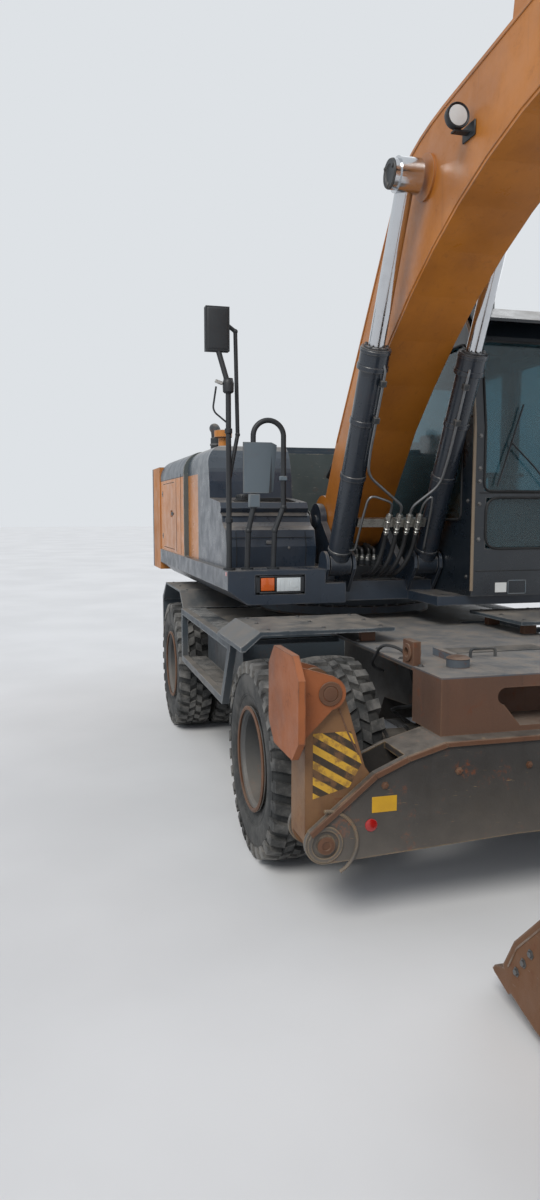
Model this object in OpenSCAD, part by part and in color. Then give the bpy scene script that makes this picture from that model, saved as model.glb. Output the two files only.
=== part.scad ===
// Wheeled excavator, full size, millimetres.
// +X forward, +Y to the machine's left, +Z up from the ground.
// Every size below is given from the slew axis. The model is then moved along X
// so that the middle of its whole length lies over the origin.

/* [Wheels] */
// Distance between the front and the rear axle
wheelbase = 2850; // [2780:10:2920]
// Distance from the slew axis forward to the front axle
front_axle_x = 2020; // [1990:5:2030]
// Outside diameter of a tyre
tyre_d = 1056; // [1030:2:1070]
// Width of one tyre
tyre_w = 275; // [250:1:280]
// Gap between the two tyres of a wheel
tyre_gap = 45; // [30:1:60]
// Width across the outer tyres
track_w = 2540; // [2520:2:2600]
// Diameter of the rim at its edge
rim_d = 560; // [520:2:580]
// Distance of each kingpin inward from the middle of its twin wheel
kingpin_inset = 252.5; // [247.5:0.5:272.5]
// Distance of an axle yoke's wall inward from its kingpin
yoke_in = 160; // [150:1:170]

/* [Undercarriage] */
// Width of the chassis beam
chassis_w = 740; // [640:10:760]
// Height of the chassis deck
deck_z = 1100; // [1090:1:1120]
// Height of the chassis belly between the axles
belly_z = 580; // [540:10:620]
// Distance from the slew axis to the front end of the chassis
chassis_front = 2900; // [2860:5:2920]
// Distance from the slew axis to the rear end of the chassis
chassis_rear = 1650; // [1550:10:1750]
// Width of the boxes at both ends of the chassis
end_box_w = 1200; // [1000:10:1240]
// Outside radius of the slew ring
slew_ring_r = 600; // [520:10:640]
// Height of the fender plates over the front wheels
fender_z = 1190; // [1150:1:1200]
// Length of the front fender plate
fender_l = 620; // [500:10:700]
// Height of the top tread of the side steps
step_top_z = 1075; // [1040:1:1090]
// Height of the lower tread of the side steps
step_low_z = 660; // [600:5:700]

/* [Stabiliser] */
// Distance from the slew axis to the front face of the beam
beam_front = 2985; // [2980:1:3010]
// Thickness of the front and rear plates of the beam
beam_plate_t = 30; // [20:1:35]
// Width of a leg along the machine
leg_w = 200; // [160:1:205]
// Distance of a leg's pivot from the middle
leg_pivot_y = 1170; // [1140:1:1190]
// Height of a leg's pivot
leg_pivot_z = 430; // [400:1:460]
// Length of a leg between its two pins
leg_l = 650; // [600:1:680]
// Width of a foot pad along the machine
pad_w = 460; // [400:5:500]
// Height of a foot pad as it is stowed
pad_h = 440; // [400:5:460]

/* [Upper structure] */
// Width of the upper structure
upper_w = 2360; // [2300:10:2400]
// Height of the platform's underside
platform_z = 1240; // [1230:1:1260]
// Height of the platform's upper edge
deck_top_z = 1460; // [1440:1:1480]
// Distance from the slew axis to the front of the right deck
deck_front = 1100; // [1060:5:1140]
// Swing radius of the counterweight
tail_r = 2850; // [2700:10:2900]
// Height of the engine housing
hood_z = 2320; // [2250:10:2350]
// Height of the tank beside the boom
tank_z = 1900; // [1850:10:1980]

/* [Cab] */
// Width of the cab
cab_w = 880; // [840:5:900]
// Distance from the slew axis to the cab's front
cab_front = 1500; // [1450:5:1540]
// Length of the cab
cab_l = 1750; // [1650:10:1800]
// Height of the cab's floor underside
cab_z = 1300; // [1290:1:1320]
// Height of the cab's roof
cab_top = 3080; // [3000:10:3150]
// Thickness of the cab's walls
cab_wall = 60; // [45:1:75]

/* [Boom] */
// Distance from the cab's inner wall to the boom's middle plane
boom_room = 420; // [400:5:425]
// Width of the boom
boom_w = 400; // [360:5:410]
// Distance from the boom's foot pin to its tip pin
boom_l = 5516; // [5400:10:5600]
// Angle of the line from foot pin to tip pin as the machine stands
boom_angle = 23.7; // [23:0.1:25]
// Radius of the boom's foot and tip pins
main_pin_r = 45; // [35:1:50]
// Outside radius of a boom cylinder's barrel
boom_barrel_r = 75; // [65:1:80]
// Radius of a boom cylinder's rod
boom_rod_r = 48; // [40:1:50]

/* [Arm and bucket] */
// Distance from the boom's tip pin to the bucket pin
arm_l = 2950; // [2900:10:2960]
// Angle of the arm as the machine stands
arm_angle = -111.5; // [-113:0.1:-111]
// Width of the arm
arm_w = 300; // [260:5:300]
// Angle from the bucket pin to the teeth as the machine stands
bucket_angle = -127; // [-128:0.1:-126]
// Width of the bucket
bucket_w = 1150; // [900:10:1250]
// Number of bucket teeth
teeth = 5; // [4:1:6]
// Distance between the bucket's two pins
ear_l = 450; // [430:1:460]
// Length of an idler link between its pins
idler_l = 600; // [580:1:620]
// Length of the bucket link between its pins
link_l = 600; // [590:1:620]

/* [Hidden] */
$fn = 48;
// gap between pieces that move past each other
gap = 6;
// radial clearance of a pin in its bore
pin_fit = 0.05;

// wheels
axle_z = tyre_d / 2;
rear_axle_x = front_axle_x - wheelbase;
outer_tyre_y = (track_w - tyre_w) / 2;
inner_tyre_y = outer_tyre_y - tyre_w - tyre_gap;
wheel_y = (outer_tyre_y + inner_tyre_y) / 2;
kingpin_y = wheel_y - kingpin_inset;
spindle_r = 60;
groove = 12;

// boom line and pins, as points [x, z]
foot = [400, 1760];
boom_y = upper_w / 2 - cab_w - boom_room;
boom_pt = function(a, b) foot + turn([a, b], boom_angle);
tip = boom_pt(boom_l, 0);
arm_pt = function(s, t) tip + turn([s, t], arm_angle);
bucket_pin = arm_pt(arm_l, 0);
bucket_pt = function(s, t) bucket_pin + turn([s, t], bucket_angle);
boom_eye_at = [2230, 985];
boom_cyl_foot = [1040, 1490];
boom_cyl_y = 308;
ear_in = 80;
ear_t = 30;
arm_cyl_foot_at = [3150, 1200];
arm_lever_at = [-680, 240];
lever_boss_r = 100;
idler_at = [arm_l - 460, 30];
bucket_cyl_foot_at = [120, 430];
boom_eye = boom_pt(boom_eye_at.x, boom_eye_at.y);
arm_cyl_foot = boom_pt(arm_cyl_foot_at.x, arm_cyl_foot_at.y);
arm_lever = arm_pt(arm_lever_at.x, arm_lever_at.y);
idler_pin = arm_pt(idler_at.x, idler_at.y);
bucket_cyl_foot = arm_pt(bucket_cyl_foot_at.x, bucket_cyl_foot_at.y);
ear_pin = bucket_pt(0, ear_l);
link_pin = meet(idler_pin, idler_l, ear_pin, link_l);

// reach from the slew axis, for the middle of the whole length
reach_front = arm_lever.x + lever_boss_r;
middle_x = (reach_front - tail_r) / 2;

// small maths
function turn(p, a) = [p.x * cos(a) - p.y * sin(a), p.x * sin(a) + p.y * cos(a)];
function angle_of(v) = atan2(v.y, v.x);
// the outer meeting point of two circles
function meet(p, r, q, s) =
  let (d = norm(q - p), u = (q - p) / d, m = (r * r - s * s + d * d) / (2 * d))
  p + u * m + [-u.y, u.x] * sqrt(r * r - m * m);
// a quadratic curve in n steps, without its first point
function curve(p, c, q, n) =
  [for (i = [1:n]) let (t = i / n) (1 - t) * (1 - t) * p + 2 * t * (1 - t) * c + t * t * q];

// the outline of a strip of half width h along points
function normal(p, q) = let (v = (q - p) / norm(q - p)) [-v.y, v.x];
function miter(pts, i) =
  let (n = len(pts) - 1, a = normal(pts[max(i - 1, 0)], pts[max(i, 1)]), b = normal(pts[min(i, n - 1)], pts[min(i + 1, n)]))
  (a + b) / (1 + a * b);
function strip(pts, h) = concat(
  [for (i = [0:len(pts) - 1]) pts[i] + h * miter(pts, i)],
  [for (i = [len(pts) - 1:-1:0]) pts[i] - h * miter(pts, i)]);

// helpers
module machine() translate([-middle_x, 0, 0]) children();
module both_sides() {
  children();
  mirror([0, 1, 0]) children();
}
module box(low, high) translate(low) cube(high - low);
// extrudes an outline drawn in X and Z along Y, from y on over w
module side_cut(y, w) translate([0, y + w, 0]) rotate([90, 0, 0]) linear_extrude(w) children();
// extrudes an outline drawn in Y and Z along X, from x on over w
module front_cut(x, w) translate([x, 0, 0]) rotate([90, 0, 90]) linear_extrude(w) children();
module rod_y(p, y, w, r) translate([p.x, y, p.y]) rotate([-90, 0, 0]) cylinder(h = w, r = r);
module rod_x(x, w, y, z, r) translate([x, y, z]) rotate([0, 90, 0]) cylinder(h = w, r = r);
// places an outline drawn along a line at p that points at angle a
module along(p, a) translate(p) rotate(a) children();
// a straight round bar between two points [x, z] in the plane y
module bar_xz(p, q, y, r) {
  v = q - p;
  translate([p.x, y, p.y]) rotate([0, 90 - angle_of(v), 0]) cylinder(h = norm(v), r = r);
}
// a round bar between any two points
module bar(p, q, r) {
  v = q - p;
  translate(p)
    rotate([0, acos(v.z / norm(v)), atan2(v.y, v.x)])
      cylinder(h = norm(v), r = r);
}
// straight round bars through points, with a ball at each bend
module bars(points, r) {
  n = len(points) - 1;
  for (i = [0:n - 1]) {
    v = points[i + 1] - points[i];
    step = r / 2 * v / norm(v);
    bar(points[i] + (i > 0 ? 1 : 0) * step, points[i + 1] - (i < n - 1 ? 1 : 0) * step, r);
  }
  for (i = [1:n - 1]) translate(points[i]) sphere(r = 1.25 * r);
}
module slab(x0, x1, w, z0, z1) box([x0, -w / 2, z0], [x1, w / 2, z1]);

// Undercarriage

module chassis_frame() color("#4c443d") machine() {
  axle_seat_z = axle_z + 215;
  outline = [
    [-chassis_rear, axle_seat_z], [rear_axle_x + 260, axle_seat_z], [rear_axle_x + 350, belly_z],
    [front_axle_x - 400, belly_z], [front_axle_x - 300, axle_seat_z], [chassis_front - 290, axle_seat_z + 70],
    [chassis_front - 290, deck_z], [-chassis_rear, deck_z]
  ];
  difference() {
    union() {
      side_cut(-chassis_w / 2, chassis_w) polygon(outline);
      slab(1300, chassis_front - 250, end_box_w, deck_z - 20, deck_z);
      slab(chassis_front - 300, chassis_front, end_box_w, deck_z - 265, deck_z);
      slab(-chassis_rear, -chassis_rear + 200, end_box_w, deck_z - 265, deck_z);
      translate([0, 0, deck_z - 20]) cylinder(h = 70, r = slew_ring_r + 60);
      translate([0, 0, deck_z + 50]) cylinder(h = 50, r = slew_ring_r);
      // valve boxes and castings beside the deck
      both_sides() {
        box([front_axle_x + 260, chassis_w / 2 - 1, deck_z - 270], [front_axle_x + 540, chassis_w / 2 + 70, deck_z - 40]);
        translate([chassis_front - 230, 400, deck_z - 1]) cylinder(h = 46, r = 55);
        box([chassis_front - 560, chassis_w / 2 - 30, deck_z - 1], [chassis_front - 300, chassis_w / 2, deck_z + 40]);
      }
      // oscillation bracket of the front axle
      for (x = [front_axle_x - 260, front_axle_x + 210])
        side_cut(-110, 220) polygon([
          [x, axle_seat_z + 40], [x, axle_z + 60], [x + 50, axle_z + 60], [x + 50, axle_seat_z + 40]]);
    }
    chassis_window();
  }
}
// the window in the front end box
module chassis_window() front_cut(chassis_front - 240, 241) {
  top = deck_z - 60;
  low = deck_z - 240;
  r = 40;
  polygon([[-200, low], [200, low], [310 + r * 0.2, top - r], [310 - r, top], [r - 310, top], [-310 - r * 0.2, top - r]]);
  for (s = [-1, 1]) translate([s * (310 - r * 0.8), top - r]) circle(r = r);
}
// lashing eyes: plates on the deck in front and on the rear end
lash_r = 22;
lash_t = 40;
lash_front_x = 2540;
lash_front_z = deck_z + 58;
lash_rear_x = -chassis_rear - 58;
lash_rear_z = deck_z - 130;
module lashing_eyes() color("#4c443d") machine() both_sides() side_cut(end_box_w / 2 - lash_t, lash_t) {
  difference() {
    translate([lash_front_x - 58, deck_z]) square([116, 116]);
    translate([lash_front_x, lash_front_z]) circle(r = lash_r);
  }
  difference() {
    translate([lash_rear_x - 58, lash_rear_z - 58]) square(116);
    translate([lash_rear_x, lash_rear_z]) circle(r = lash_r);
  }
}

beam_rear = beam_front - 2 * beam_plate_t - leg_w - 2 * gap + 5;
leg_x0 = beam_front - beam_plate_t - gap - leg_w;
beam_end_r = 88;
beam_top_z = deck_z - 265;
module beam_outline() {
  pivot = [leg_pivot_y, leg_pivot_z];
  shoulder = [[1240, 487], [950, 722], [800, 785], [620, beam_top_z]];
  low = pivot.y - beam_end_r;
  translate(pivot) circle(r = beam_end_r);
  mirror([1, 0]) translate(pivot) circle(r = beam_end_r);
  polygon(concat(
    shoulder,
    [for (i = [3:-1:0]) [-shoulder[i].x, shoulder[i].y]],
    [[-pivot.x, low], [-250, low + 40], [250, low + 40], [pivot.x, low]]));
}
module stabiliser_beam() color("#47433f") machine() {
  inner_x0 = beam_rear + beam_plate_t - 7;
  inner_x1 = beam_front - beam_plate_t;
  pin_end = 12;
  front_cut(beam_front - beam_plate_t, beam_plate_t) beam_outline();
  front_cut(beam_rear, beam_plate_t - 7) beam_outline();
  box([inner_x0, -620, beam_top_z - 30], [beam_front, 620, beam_top_z]);
  box([inner_x0, -860, leg_pivot_z - 60], [inner_x1, 860, leg_pivot_z - 35]);
  for (y = [-60, 30]) box([inner_x0, y, leg_pivot_z - 35], [inner_x1, y + 30, beam_top_z - 30]);
  both_sides() {
    front_cut(inner_x0, inner_x1 - inner_x0) polygon([
      [620, beam_top_z], [800, 785], [800, 755], [620, beam_top_z - 30]]);
    rod_x(beam_rear - pin_end, beam_front - beam_rear + 2 * pin_end, leg_pivot_y, leg_pivot_z, 40);
    rod_x(inner_x0, inner_x1 - inner_x0, leg_cyl_foot.x, leg_cyl_foot.y, 22);
  }
}

module axle_yokes(x) both_sides() {
  for (z = [-1, 1]) difference() {
    union() {
      translate([x, kingpin_y, axle_z + z * 150 - 20]) cylinder(h = 40, r = 70);
      box([x - 70, kingpin_y - yoke_in + 20, axle_z + z * 150 - 20], [x + 70, kingpin_y, axle_z + z * 150 + 20]);
    }
    translate([x, kingpin_y, axle_z + z * 150 - 21]) cylinder(h = 42, r = 32 + pin_fit);
  }
  box([x - 70, kingpin_y - yoke_in, axle_z - 170], [x + 70, kingpin_y - yoke_in + 40, axle_z + 170]);
}
module axle_body(x, half) {
  rod_y([x, axle_z], -half, 2 * half, 105);
  rod_y([x, axle_z], -190, 380, 190);
}
steer_arm_x = -190;
steer_rod_z = axle_z;
steer_barrel_y = 250;
module front_axle() color("#33373a") machine() {
  axle_body(front_axle_x, kingpin_y - yoke_in + 20);
  axle_yokes(front_axle_x);
  rod_x(front_axle_x - 330, 200, 0, axle_z - 110, 58);
  // pivot block under the oscillation bracket
  box([front_axle_x - 204, -90, axle_z + 70], [front_axle_x + 204, 90, axle_z + 200]);
  difference() {
    union() {
      rod_y([front_axle_x + steer_arm_x - 60, steer_rod_z], -steer_barrel_y, 2 * steer_barrel_y, 55);
      box([front_axle_x + steer_arm_x - 20, -60, steer_rod_z - 40], [front_axle_x - 100, 60, steer_rod_z + 40]);
    }
    rod_y([front_axle_x + steer_arm_x - 60, steer_rod_z], -steer_barrel_y - 1, 2 * steer_barrel_y + 2, 30 + pin_fit);
  }
}
module rear_axle() color("#33373a") machine() {
  axle_body(rear_axle_x, wheel_y - 160);
  both_sides() rod_y([rear_axle_x, axle_z], 560, wheel_y - 80 - 560, 150);
  both_sides() rod_y([rear_axle_x, axle_z], 560, wheel_y + 90 - 560, spindle_r);
  both_sides() box([rear_axle_x - 120, 180, axle_z], [rear_axle_x + 120, 330, axle_z + 215]);
  // gearbox and shafts
  box([rear_axle_x + 380, -170, belly_z - 190], [rear_axle_x + 700, 170, belly_z]);
  rod_x(rear_axle_x + 180, 210, 0, axle_z - 20, 45);
  rod_x(rear_axle_x + 690, wheelbase - 690 - 330, 0, axle_z - 110, 40);
}

// fender plates over the wheels
module fenders() color("#3d474d") machine() both_sides() {
  front_fender();
  rear_fender();
}
module side_steps() color("#3d474d") machine() both_sides() side_step();
fender_t = 22;
step_front_top = 1560;
fender_rear_x = step_front_top - 250;
step_front_low = 1310;
step_rear = -240;
step_y = 1265;
step_d = 195;
rail = 45;
module front_fender() {
  z = fender_z;
  front_cut(fender_rear_x, fender_l) polygon([
    [400, z], [1180, z], [1290, z - 80], [1290, z - 105], [1265, z - 105],
    [1170, z - fender_t], [400, z - fender_t]]);
  box([fender_rear_x + 480, 480, deck_z], [fender_rear_x + 520, 560, z - fender_t]);
  box([fender_rear_x + 60, 480, deck_z], [fender_rear_x + 100, 560, z - fender_t]);
  box([step_front_top - rail, step_y - rail, step_top_z + 15], [step_front_top, step_y, z - 85]);
}
module rear_fender() {
  z = 1180;
  side_cut(640, 600) polygon([
    [rear_axle_x + 500, 1060], [rear_axle_x + 350, z], [rear_axle_x - 420, z], [rear_axle_x - 620, 1020],
    [rear_axle_x - 640, 1020], [rear_axle_x - 640, 600], [rear_axle_x - 652, 600], [rear_axle_x - 652, 1050],
    [rear_axle_x - 430, z + 15], [rear_axle_x + 360, z + 15], [rear_axle_x + 515, 1070]]);
  box([rear_axle_x - 60, chassis_w / 2, deck_z - 60], [rear_axle_x, 660, deck_z - 20]);
  box([rear_axle_x - 60, 640, deck_z - 20], [rear_axle_x, 660, z]);
}
module side_step() {
  y0 = step_y - rail;
  top = step_top_z;
  side_cut(y0, rail) difference() {
    polygon([[step_rear, step_low_z], [step_front_low, step_low_z], [step_front_top, top], [step_rear, top]]);
    polygon([
      [step_rear + rail, step_low_z + rail], [step_front_low - rail + 10, step_low_z + rail],
      [step_front_top - rail - 40, top - rail], [step_rear + rail, top - rail]]);
  }
  box([step_rear, step_y - step_d, top - 25], [step_front_top - 120, y0, top]);
  box([step_rear, step_y - step_d, step_low_z], [step_front_low - 20, y0, step_low_z + 25]);
  // cross bar from the frame to the deck
  box([step_front_top - rail, end_box_w / 2, step_top_z - 15], [step_front_top, step_y - 10, step_top_z + 15]);
  // tool box between the step and the chassis
  box([step_rear + 90, chassis_w / 2, step_low_z], [1040, step_y - step_d, top]);
}

// Steering and wheels

module knuckle() {
  x = front_axle_x;
  translate([x, kingpin_y, axle_z - 124]) cylinder(h = 248, r = 80);
  translate([x, kingpin_y, axle_z - 168]) cylinder(h = 336, r = 32);
  rod_y([x, axle_z], kingpin_y, wheel_y - 80 - kingpin_y, 120);
  rod_y([x, axle_z], kingpin_y, wheel_y + 90 - kingpin_y, spindle_r);
  box([x + steer_arm_x - 90, kingpin_y - 78, steer_rod_z - 20], [x, kingpin_y - 42, steer_rod_z + 20]);
}
module knuckle_left() color("#2f3336") machine() knuckle();
module knuckle_right() color("#2f3336") machine() mirror([0, 1, 0]) knuckle();
module steering_rod() color("#9a9da0") machine() {
  x = front_axle_x + steer_arm_x - 60;
  end = kingpin_y - 120;
  rod_y([x, steer_rod_z], -end, 2 * end, 30);
  both_sides() for (z = [-50, 26])
    box([x - 30, end - 30, steer_rod_z + z], [x + 30, kingpin_y - 65, steer_rod_z + z + 24]);
  both_sides() box([x - 30, end - 40, steer_rod_z - 50], [x + 30, end - 10, steer_rod_z + 50]);
}

// half of a tyre's section: distance from the middle of the tread, radius
function tyre_half() = [
  [0.06, axle_z - groove], [0.06, axle_z], [0.16, axle_z], [0.16, axle_z - groove], [0.20, axle_z - groove],
  [0.20, axle_z - 1], [0.34, axle_z - 5], [0.40, axle_z - 20], [0.49, axle_z - 80], [0.5, rim_d / 2 + 100],
  [0.42, rim_d / 2 + 30], [0.36, rim_d / 2 - 20]];
function tyre_section() = let (h = tyre_half(), n = len(h))
  concat([for (p = h) p], [for (i = [1:n]) [-h[n - i].x, h[n - i].y]]);
module tyre() rotate([-90, 0, 0]) rotate_extrude() polygon([for (p = tyre_section()) [p.y, p.x * tyre_w]]);
module twin_tyres(x) for (y = [inner_tyre_y, outer_tyre_y]) translate([x, y, axle_z]) tyre();
module tyres_front_left() color("#282b2c") machine() twin_tyres(front_axle_x);
module tyres_front_right() color("#282b2c") machine() mirror([0, 1, 0]) twin_tyres(front_axle_x);
module tyres_rear_left() color("#282b2c") machine() twin_tyres(rear_axle_x);
module tyres_rear_right() color("#282b2c") machine() mirror([0, 1, 0]) twin_tyres(rear_axle_x);

// rim section of one tyre, radius against distance from its middle
module twin_rim(x) translate([x, 0, axle_z]) rotate([-90, 0, 0]) {
  edge = rim_d / 2 - 20;
  for (y = [inner_tyre_y, outer_tyre_y]) translate([0, 0, y]) rotate_extrude()
    polygon([
      [edge, -0.36 * tyre_w], [edge, 0.36 * tyre_w], [edge + 18, 0.43 * tyre_w], [edge + 10, 0.46 * tyre_w],
      [edge - 12, 0.42 * tyre_w], [edge - 20, 0.36 * tyre_w], [edge - 20, -0.36 * tyre_w],
      [edge - 12, -0.42 * tyre_w], [edge + 10, -0.46 * tyre_w], [edge + 18, -0.43 * tyre_w]]);
  // disc between the two rims, with the hub
  translate([0, 0, wheel_y - 12]) difference() {
    cylinder(h = 24, r = edge - 10);
    translate([0, 0, -1]) cylinder(h = 26, r = 100);
    for (i = [0:7]) rotate(i * 45 + 22.5) translate([edge * 0.72, 0, -1]) cylinder(h = 26, r = 28);
  }
  for (y = [inner_tyre_y + 0.36 * tyre_w - 1, wheel_y + 10]) translate([0, 0, y]) difference() {
    cylinder(h = outer_tyre_y - 0.36 * tyre_w - wheel_y - 9, r = edge - 2);
    translate([0, 0, -1]) cylinder(h = tyre_w, r = edge - 24);
  }
  translate([0, 0, wheel_y - 70]) difference() {
    cylinder(h = 210, r = 150);
    translate([0, 0, -1]) cylinder(h = 171, r = spindle_r + pin_fit);
  }
  translate([0, 0, wheel_y + 140]) cylinder(h = 35, r = 95);
}
module rim_front_left() color("#3a3e40") machine() twin_rim(front_axle_x);
module rim_front_right() color("#3a3e40") machine() mirror([0, 1, 0]) twin_rim(front_axle_x);
module rim_rear_left() color("#3a3e40") machine() twin_rim(rear_axle_x);
module rim_rear_right() color("#3a3e40") machine() mirror([0, 1, 0]) twin_rim(rear_axle_x);

// Stabiliser legs

foot_pin = [leg_pivot_y - 20, leg_pivot_z + leg_l];
leg_cyl_foot = [250, 600];
leg_lever = [leg_pivot_y - 215, leg_pivot_z + 215];
leg_plate = 28;
leg_rod_r = 25;
leg_outer_y = 1250;
pin_r = 30;
module leg_outline() {
  polygon([
    [leg_outer_y, leg_pivot_z], [leg_outer_y, foot_pin.y - 50], [foot_pin.x + 70, foot_pin.y],
    [foot_pin.x - 70, foot_pin.y], [leg_pivot_y - 190, 745], [leg_lever.x - 45, leg_lever.y],
    [leg_lever.x - 20, leg_lever.y - 60], [leg_pivot_y - 60, leg_pivot_z - 40], [leg_pivot_y, leg_pivot_z - 78]]);
  translate([leg_pivot_y, leg_pivot_z]) circle(r = 80);
  translate(foot_pin) circle(r = 70);
}
module leg() difference() {
  union() {
    for (x = [leg_x0, leg_x0 + leg_w - leg_plate]) front_cut(x, leg_plate) leg_outline();
    box([leg_x0, leg_outer_y - leg_plate, leg_pivot_z], [leg_x0 + leg_w, leg_outer_y, foot_pin.y - 50]);
    rod_x(leg_x0, leg_w, leg_pivot_y, leg_pivot_z, 50);
    rod_x(leg_x0, leg_w, foot_pin.x, foot_pin.y, 50);
    rod_x(leg_x0 - gap - 24, leg_w + 2 * gap + 48, foot_pin.x, foot_pin.y, pin_r);
  }
  rod_x(leg_x0 - 1, leg_w + 2, leg_pivot_y, leg_pivot_z, 40 + pin_fit);
}
module leg_left() color("#745133") machine() leg();
module leg_right() color("#745133") machine() mirror([0, 1, 0]) leg();

pad_t = 30;
pad_y = 1290;
module pad() difference() {
  x = leg_x0 + leg_w / 2;
  z = foot_pin.y - 50;
  union() {
    translate([x, pad_y + pad_t, z]) rotate([90, 0, 0]) linear_extrude(pad_t) {
      cut = 90;
      w = pad_w / 2;
      h = pad_h / 2;
      polygon([[-w, -h + cut], [-w + cut, -h], [w - cut, -h], [w, -h + cut], [w, h - cut], [w - cut, h], [-w + cut, h], [-w, h - cut]]);
    }
    for (x0 = [leg_x0 - gap - 24, leg_x0 + leg_w + gap]) front_cut(x0, 24) {
      polygon([[pad_y + 1, z - 170], [pad_y + 1, z + 170], [foot_pin.x - 20, foot_pin.y + 70],
        [foot_pin.x - 68, foot_pin.y - 10], [foot_pin.x - 10, foot_pin.y - 70]]);
      translate(foot_pin) circle(r = 70);
    }
  }
  rod_x(leg_x0 - 60, leg_w + 120, foot_pin.x, foot_pin.y, pin_r + pin_fit);
}
module pad_left() color("#6f4329") machine() pad();
module pad_right() color("#6f4329") machine() mirror([0, 1, 0]) pad();

leg_cyl_x = leg_x0 + leg_w / 2;
leg_cyl_l = norm(leg_lever - leg_cyl_foot);
module leg_axis() translate([leg_cyl_x, leg_cyl_foot.x, leg_cyl_foot.y])
  rotate([angle_of(leg_lever - leg_cyl_foot) - 90, 0, 0]) children();
module leg_barrel() leg_axis() difference() {
  union() {
    translate([0, 0, 30]) cylinder(h = leg_cyl_l - 130, r = 48);
    rotate([0, 90, 0]) translate([0, 0, -45]) cylinder(h = 90, r = 42);
  }
  rotate([0, 90, 0]) translate([0, 0, -50]) cylinder(h = 100, r = 22 + pin_fit);
  translate([0, 0, 60]) cylinder(h = leg_cyl_l, r = leg_rod_r + pin_fit);
}
module leg_rod() leg_axis() {
  translate([0, 0, 70]) cylinder(h = leg_cyl_l - 70, r = leg_rod_r);
  translate([0, 0, leg_cyl_l]) rotate([0, 90, 0]) translate([0, 0, -45]) cylinder(h = 90, r = 40);
}
module leg_barrel_left() color("#2a2c2e") machine() leg_barrel();
module leg_barrel_right() color("#2a2c2e") machine() mirror([0, 1, 0]) leg_barrel();
module leg_rod_left() color("#b9bcc0") machine() leg_rod();
module leg_rod_right() color("#b9bcc0") machine() mirror([0, 1, 0]) leg_rod();

// Upper structure

bracket_t = 45;
bracket_gap = boom_w / 2 + gap;
lug_t = 20;
eye_w = 120;
lug_in = boom_barrel_r + gap;
upper_half = upper_w / 2;
// recess of the front lamps in the deck's front face
front_lamp_y = [-1000, -670];
front_lamp_z = [1305, 1430];
lamp_depth = 35;
house_rear = 1950;
module platform() color("#2b333b") machine() {
  centre_y = 100;
  // middle frame over the slew ring
  translate([0, 0, deck_z + 100.5]) cylinder(h = platform_z - deck_z - 99, r = slew_ring_r - 40);
  box([-house_rear - 100, boom_y - 400, platform_z], [1000, cab_y0 - gap, platform_z + 130]);
  // right deck with its front face and the chamfered skirt
  difference() {
    front_cut(-house_rear - 100, deck_front + house_rear + 100) polygon([
      [-upper_half, deck_top_z], [-upper_half, platform_z + 95], [-upper_half + 130, platform_z],
      [boom_y - 270, platform_z], [boom_y - 270, deck_top_z]]);
    box([880, boom_y - 410, platform_z + 130], [deck_front + 1, boom_y - 260, deck_top_z + 1]);
    box([deck_front - lamp_depth, front_lamp_y[0], front_lamp_z[0]], [deck_front + 1, front_lamp_y[1], front_lamp_z[1]]);
  }
  // left deck behind and under the cab
  front_cut(-house_rear - 100, house_rear + 100 + cab_front - cab_l - 20) polygon([
    [upper_half, deck_top_z], [upper_half, platform_z + 95], [upper_half - 130, platform_z],
    [centre_y, platform_z], [centre_y, deck_top_z]]);
  box([cab_front - cab_l - 20, centre_y, platform_z], [cab_front - 60, upper_half - 20, cab_z]);
  // boom foot brackets with their pin
  translate([0, boom_y, 0]) both_sides() side_cut(bracket_gap, bracket_t) difference() {
    union() {
      polygon([[-150, platform_z + 100], [930, platform_z + 100], [930, platform_z + 190], [foot.x + 130, foot.y],
        [foot.x - 130, foot.y], [foot.x - 350, platform_z + 330], [-150, platform_z + 200]]);
      translate(foot) circle(r = 130);
    }
  }
  rod_y(foot, boom_y - bracket_gap - bracket_t - 10, 2 * (bracket_gap + bracket_t + 10), main_pin_r);
  // cylinder foot lugs with their pins
  for (s = [-1, 1]) translate([0, boom_y + s * boom_cyl_y, 0]) {
    for (y = [-lug_in - lug_t, lug_in]) side_cut(y, lug_t) {
      polygon([[880, platform_z + 100], [1000, platform_z + 60], [boom_cyl_foot.x + 85, boom_cyl_foot.y - 30],
        [boom_cyl_foot.x + 85, boom_cyl_foot.y], [boom_cyl_foot.x - 85, boom_cyl_foot.y]]);
      translate(boom_cyl_foot) circle(r = 85);
    }
    rod_y(boom_cyl_foot, -lug_in - lug_t, 2 * (lug_in + lug_t), 35);
  }
}

rear_lamp = [upper_half - 330, 1700, 55];
rear_lamp_x = -sqrt(tail_r * tail_r - rear_lamp.x * rear_lamp.x);
module counterweight() color("#39434a") machine() difference() {
  z0 = platform_z + 20;
  z1 = hood_z - 60;
  intersection() {
    translate([0, 0, z0]) cylinder(h = z1 - z0, r = tail_r, $fn = 96);
    side_cut(-upper_half, upper_w) polygon([
      [-house_rear - 100, z0], [-tail_r + 120, z0], [-tail_r, z0 + 160], [-tail_r, z1 - 200],
      [-tail_r + 140, z1], [-house_rear - 100, z1]]);
  }
  both_sides() rod_x(rear_lamp_x - 60, 80, rear_lamp.x, rear_lamp.y, rear_lamp.z + 6);
  both_sides() translate([-house_rear - 450, 600, z1 - 60]) cylinder(h = 61, r = 60);
}
module lamps() color("#c8661c") machine() {
  x0 = deck_front - lamp_depth;
  box([x0, front_lamp_y[0] + 40, front_lamp_z[0] + 25], [x0 + 30, front_lamp_y[0] + 125, front_lamp_z[1] - 20]);
  box([x0, front_lamp_y[0] + 145, front_lamp_z[0] + 20], [x0 + 30, front_lamp_y[1] - 30, front_lamp_z[1] - 20]);
  both_sides() rod_x(rear_lamp_x - 5, 25, rear_lamp.x, rear_lamp.y, rear_lamp.z);
}
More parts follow.
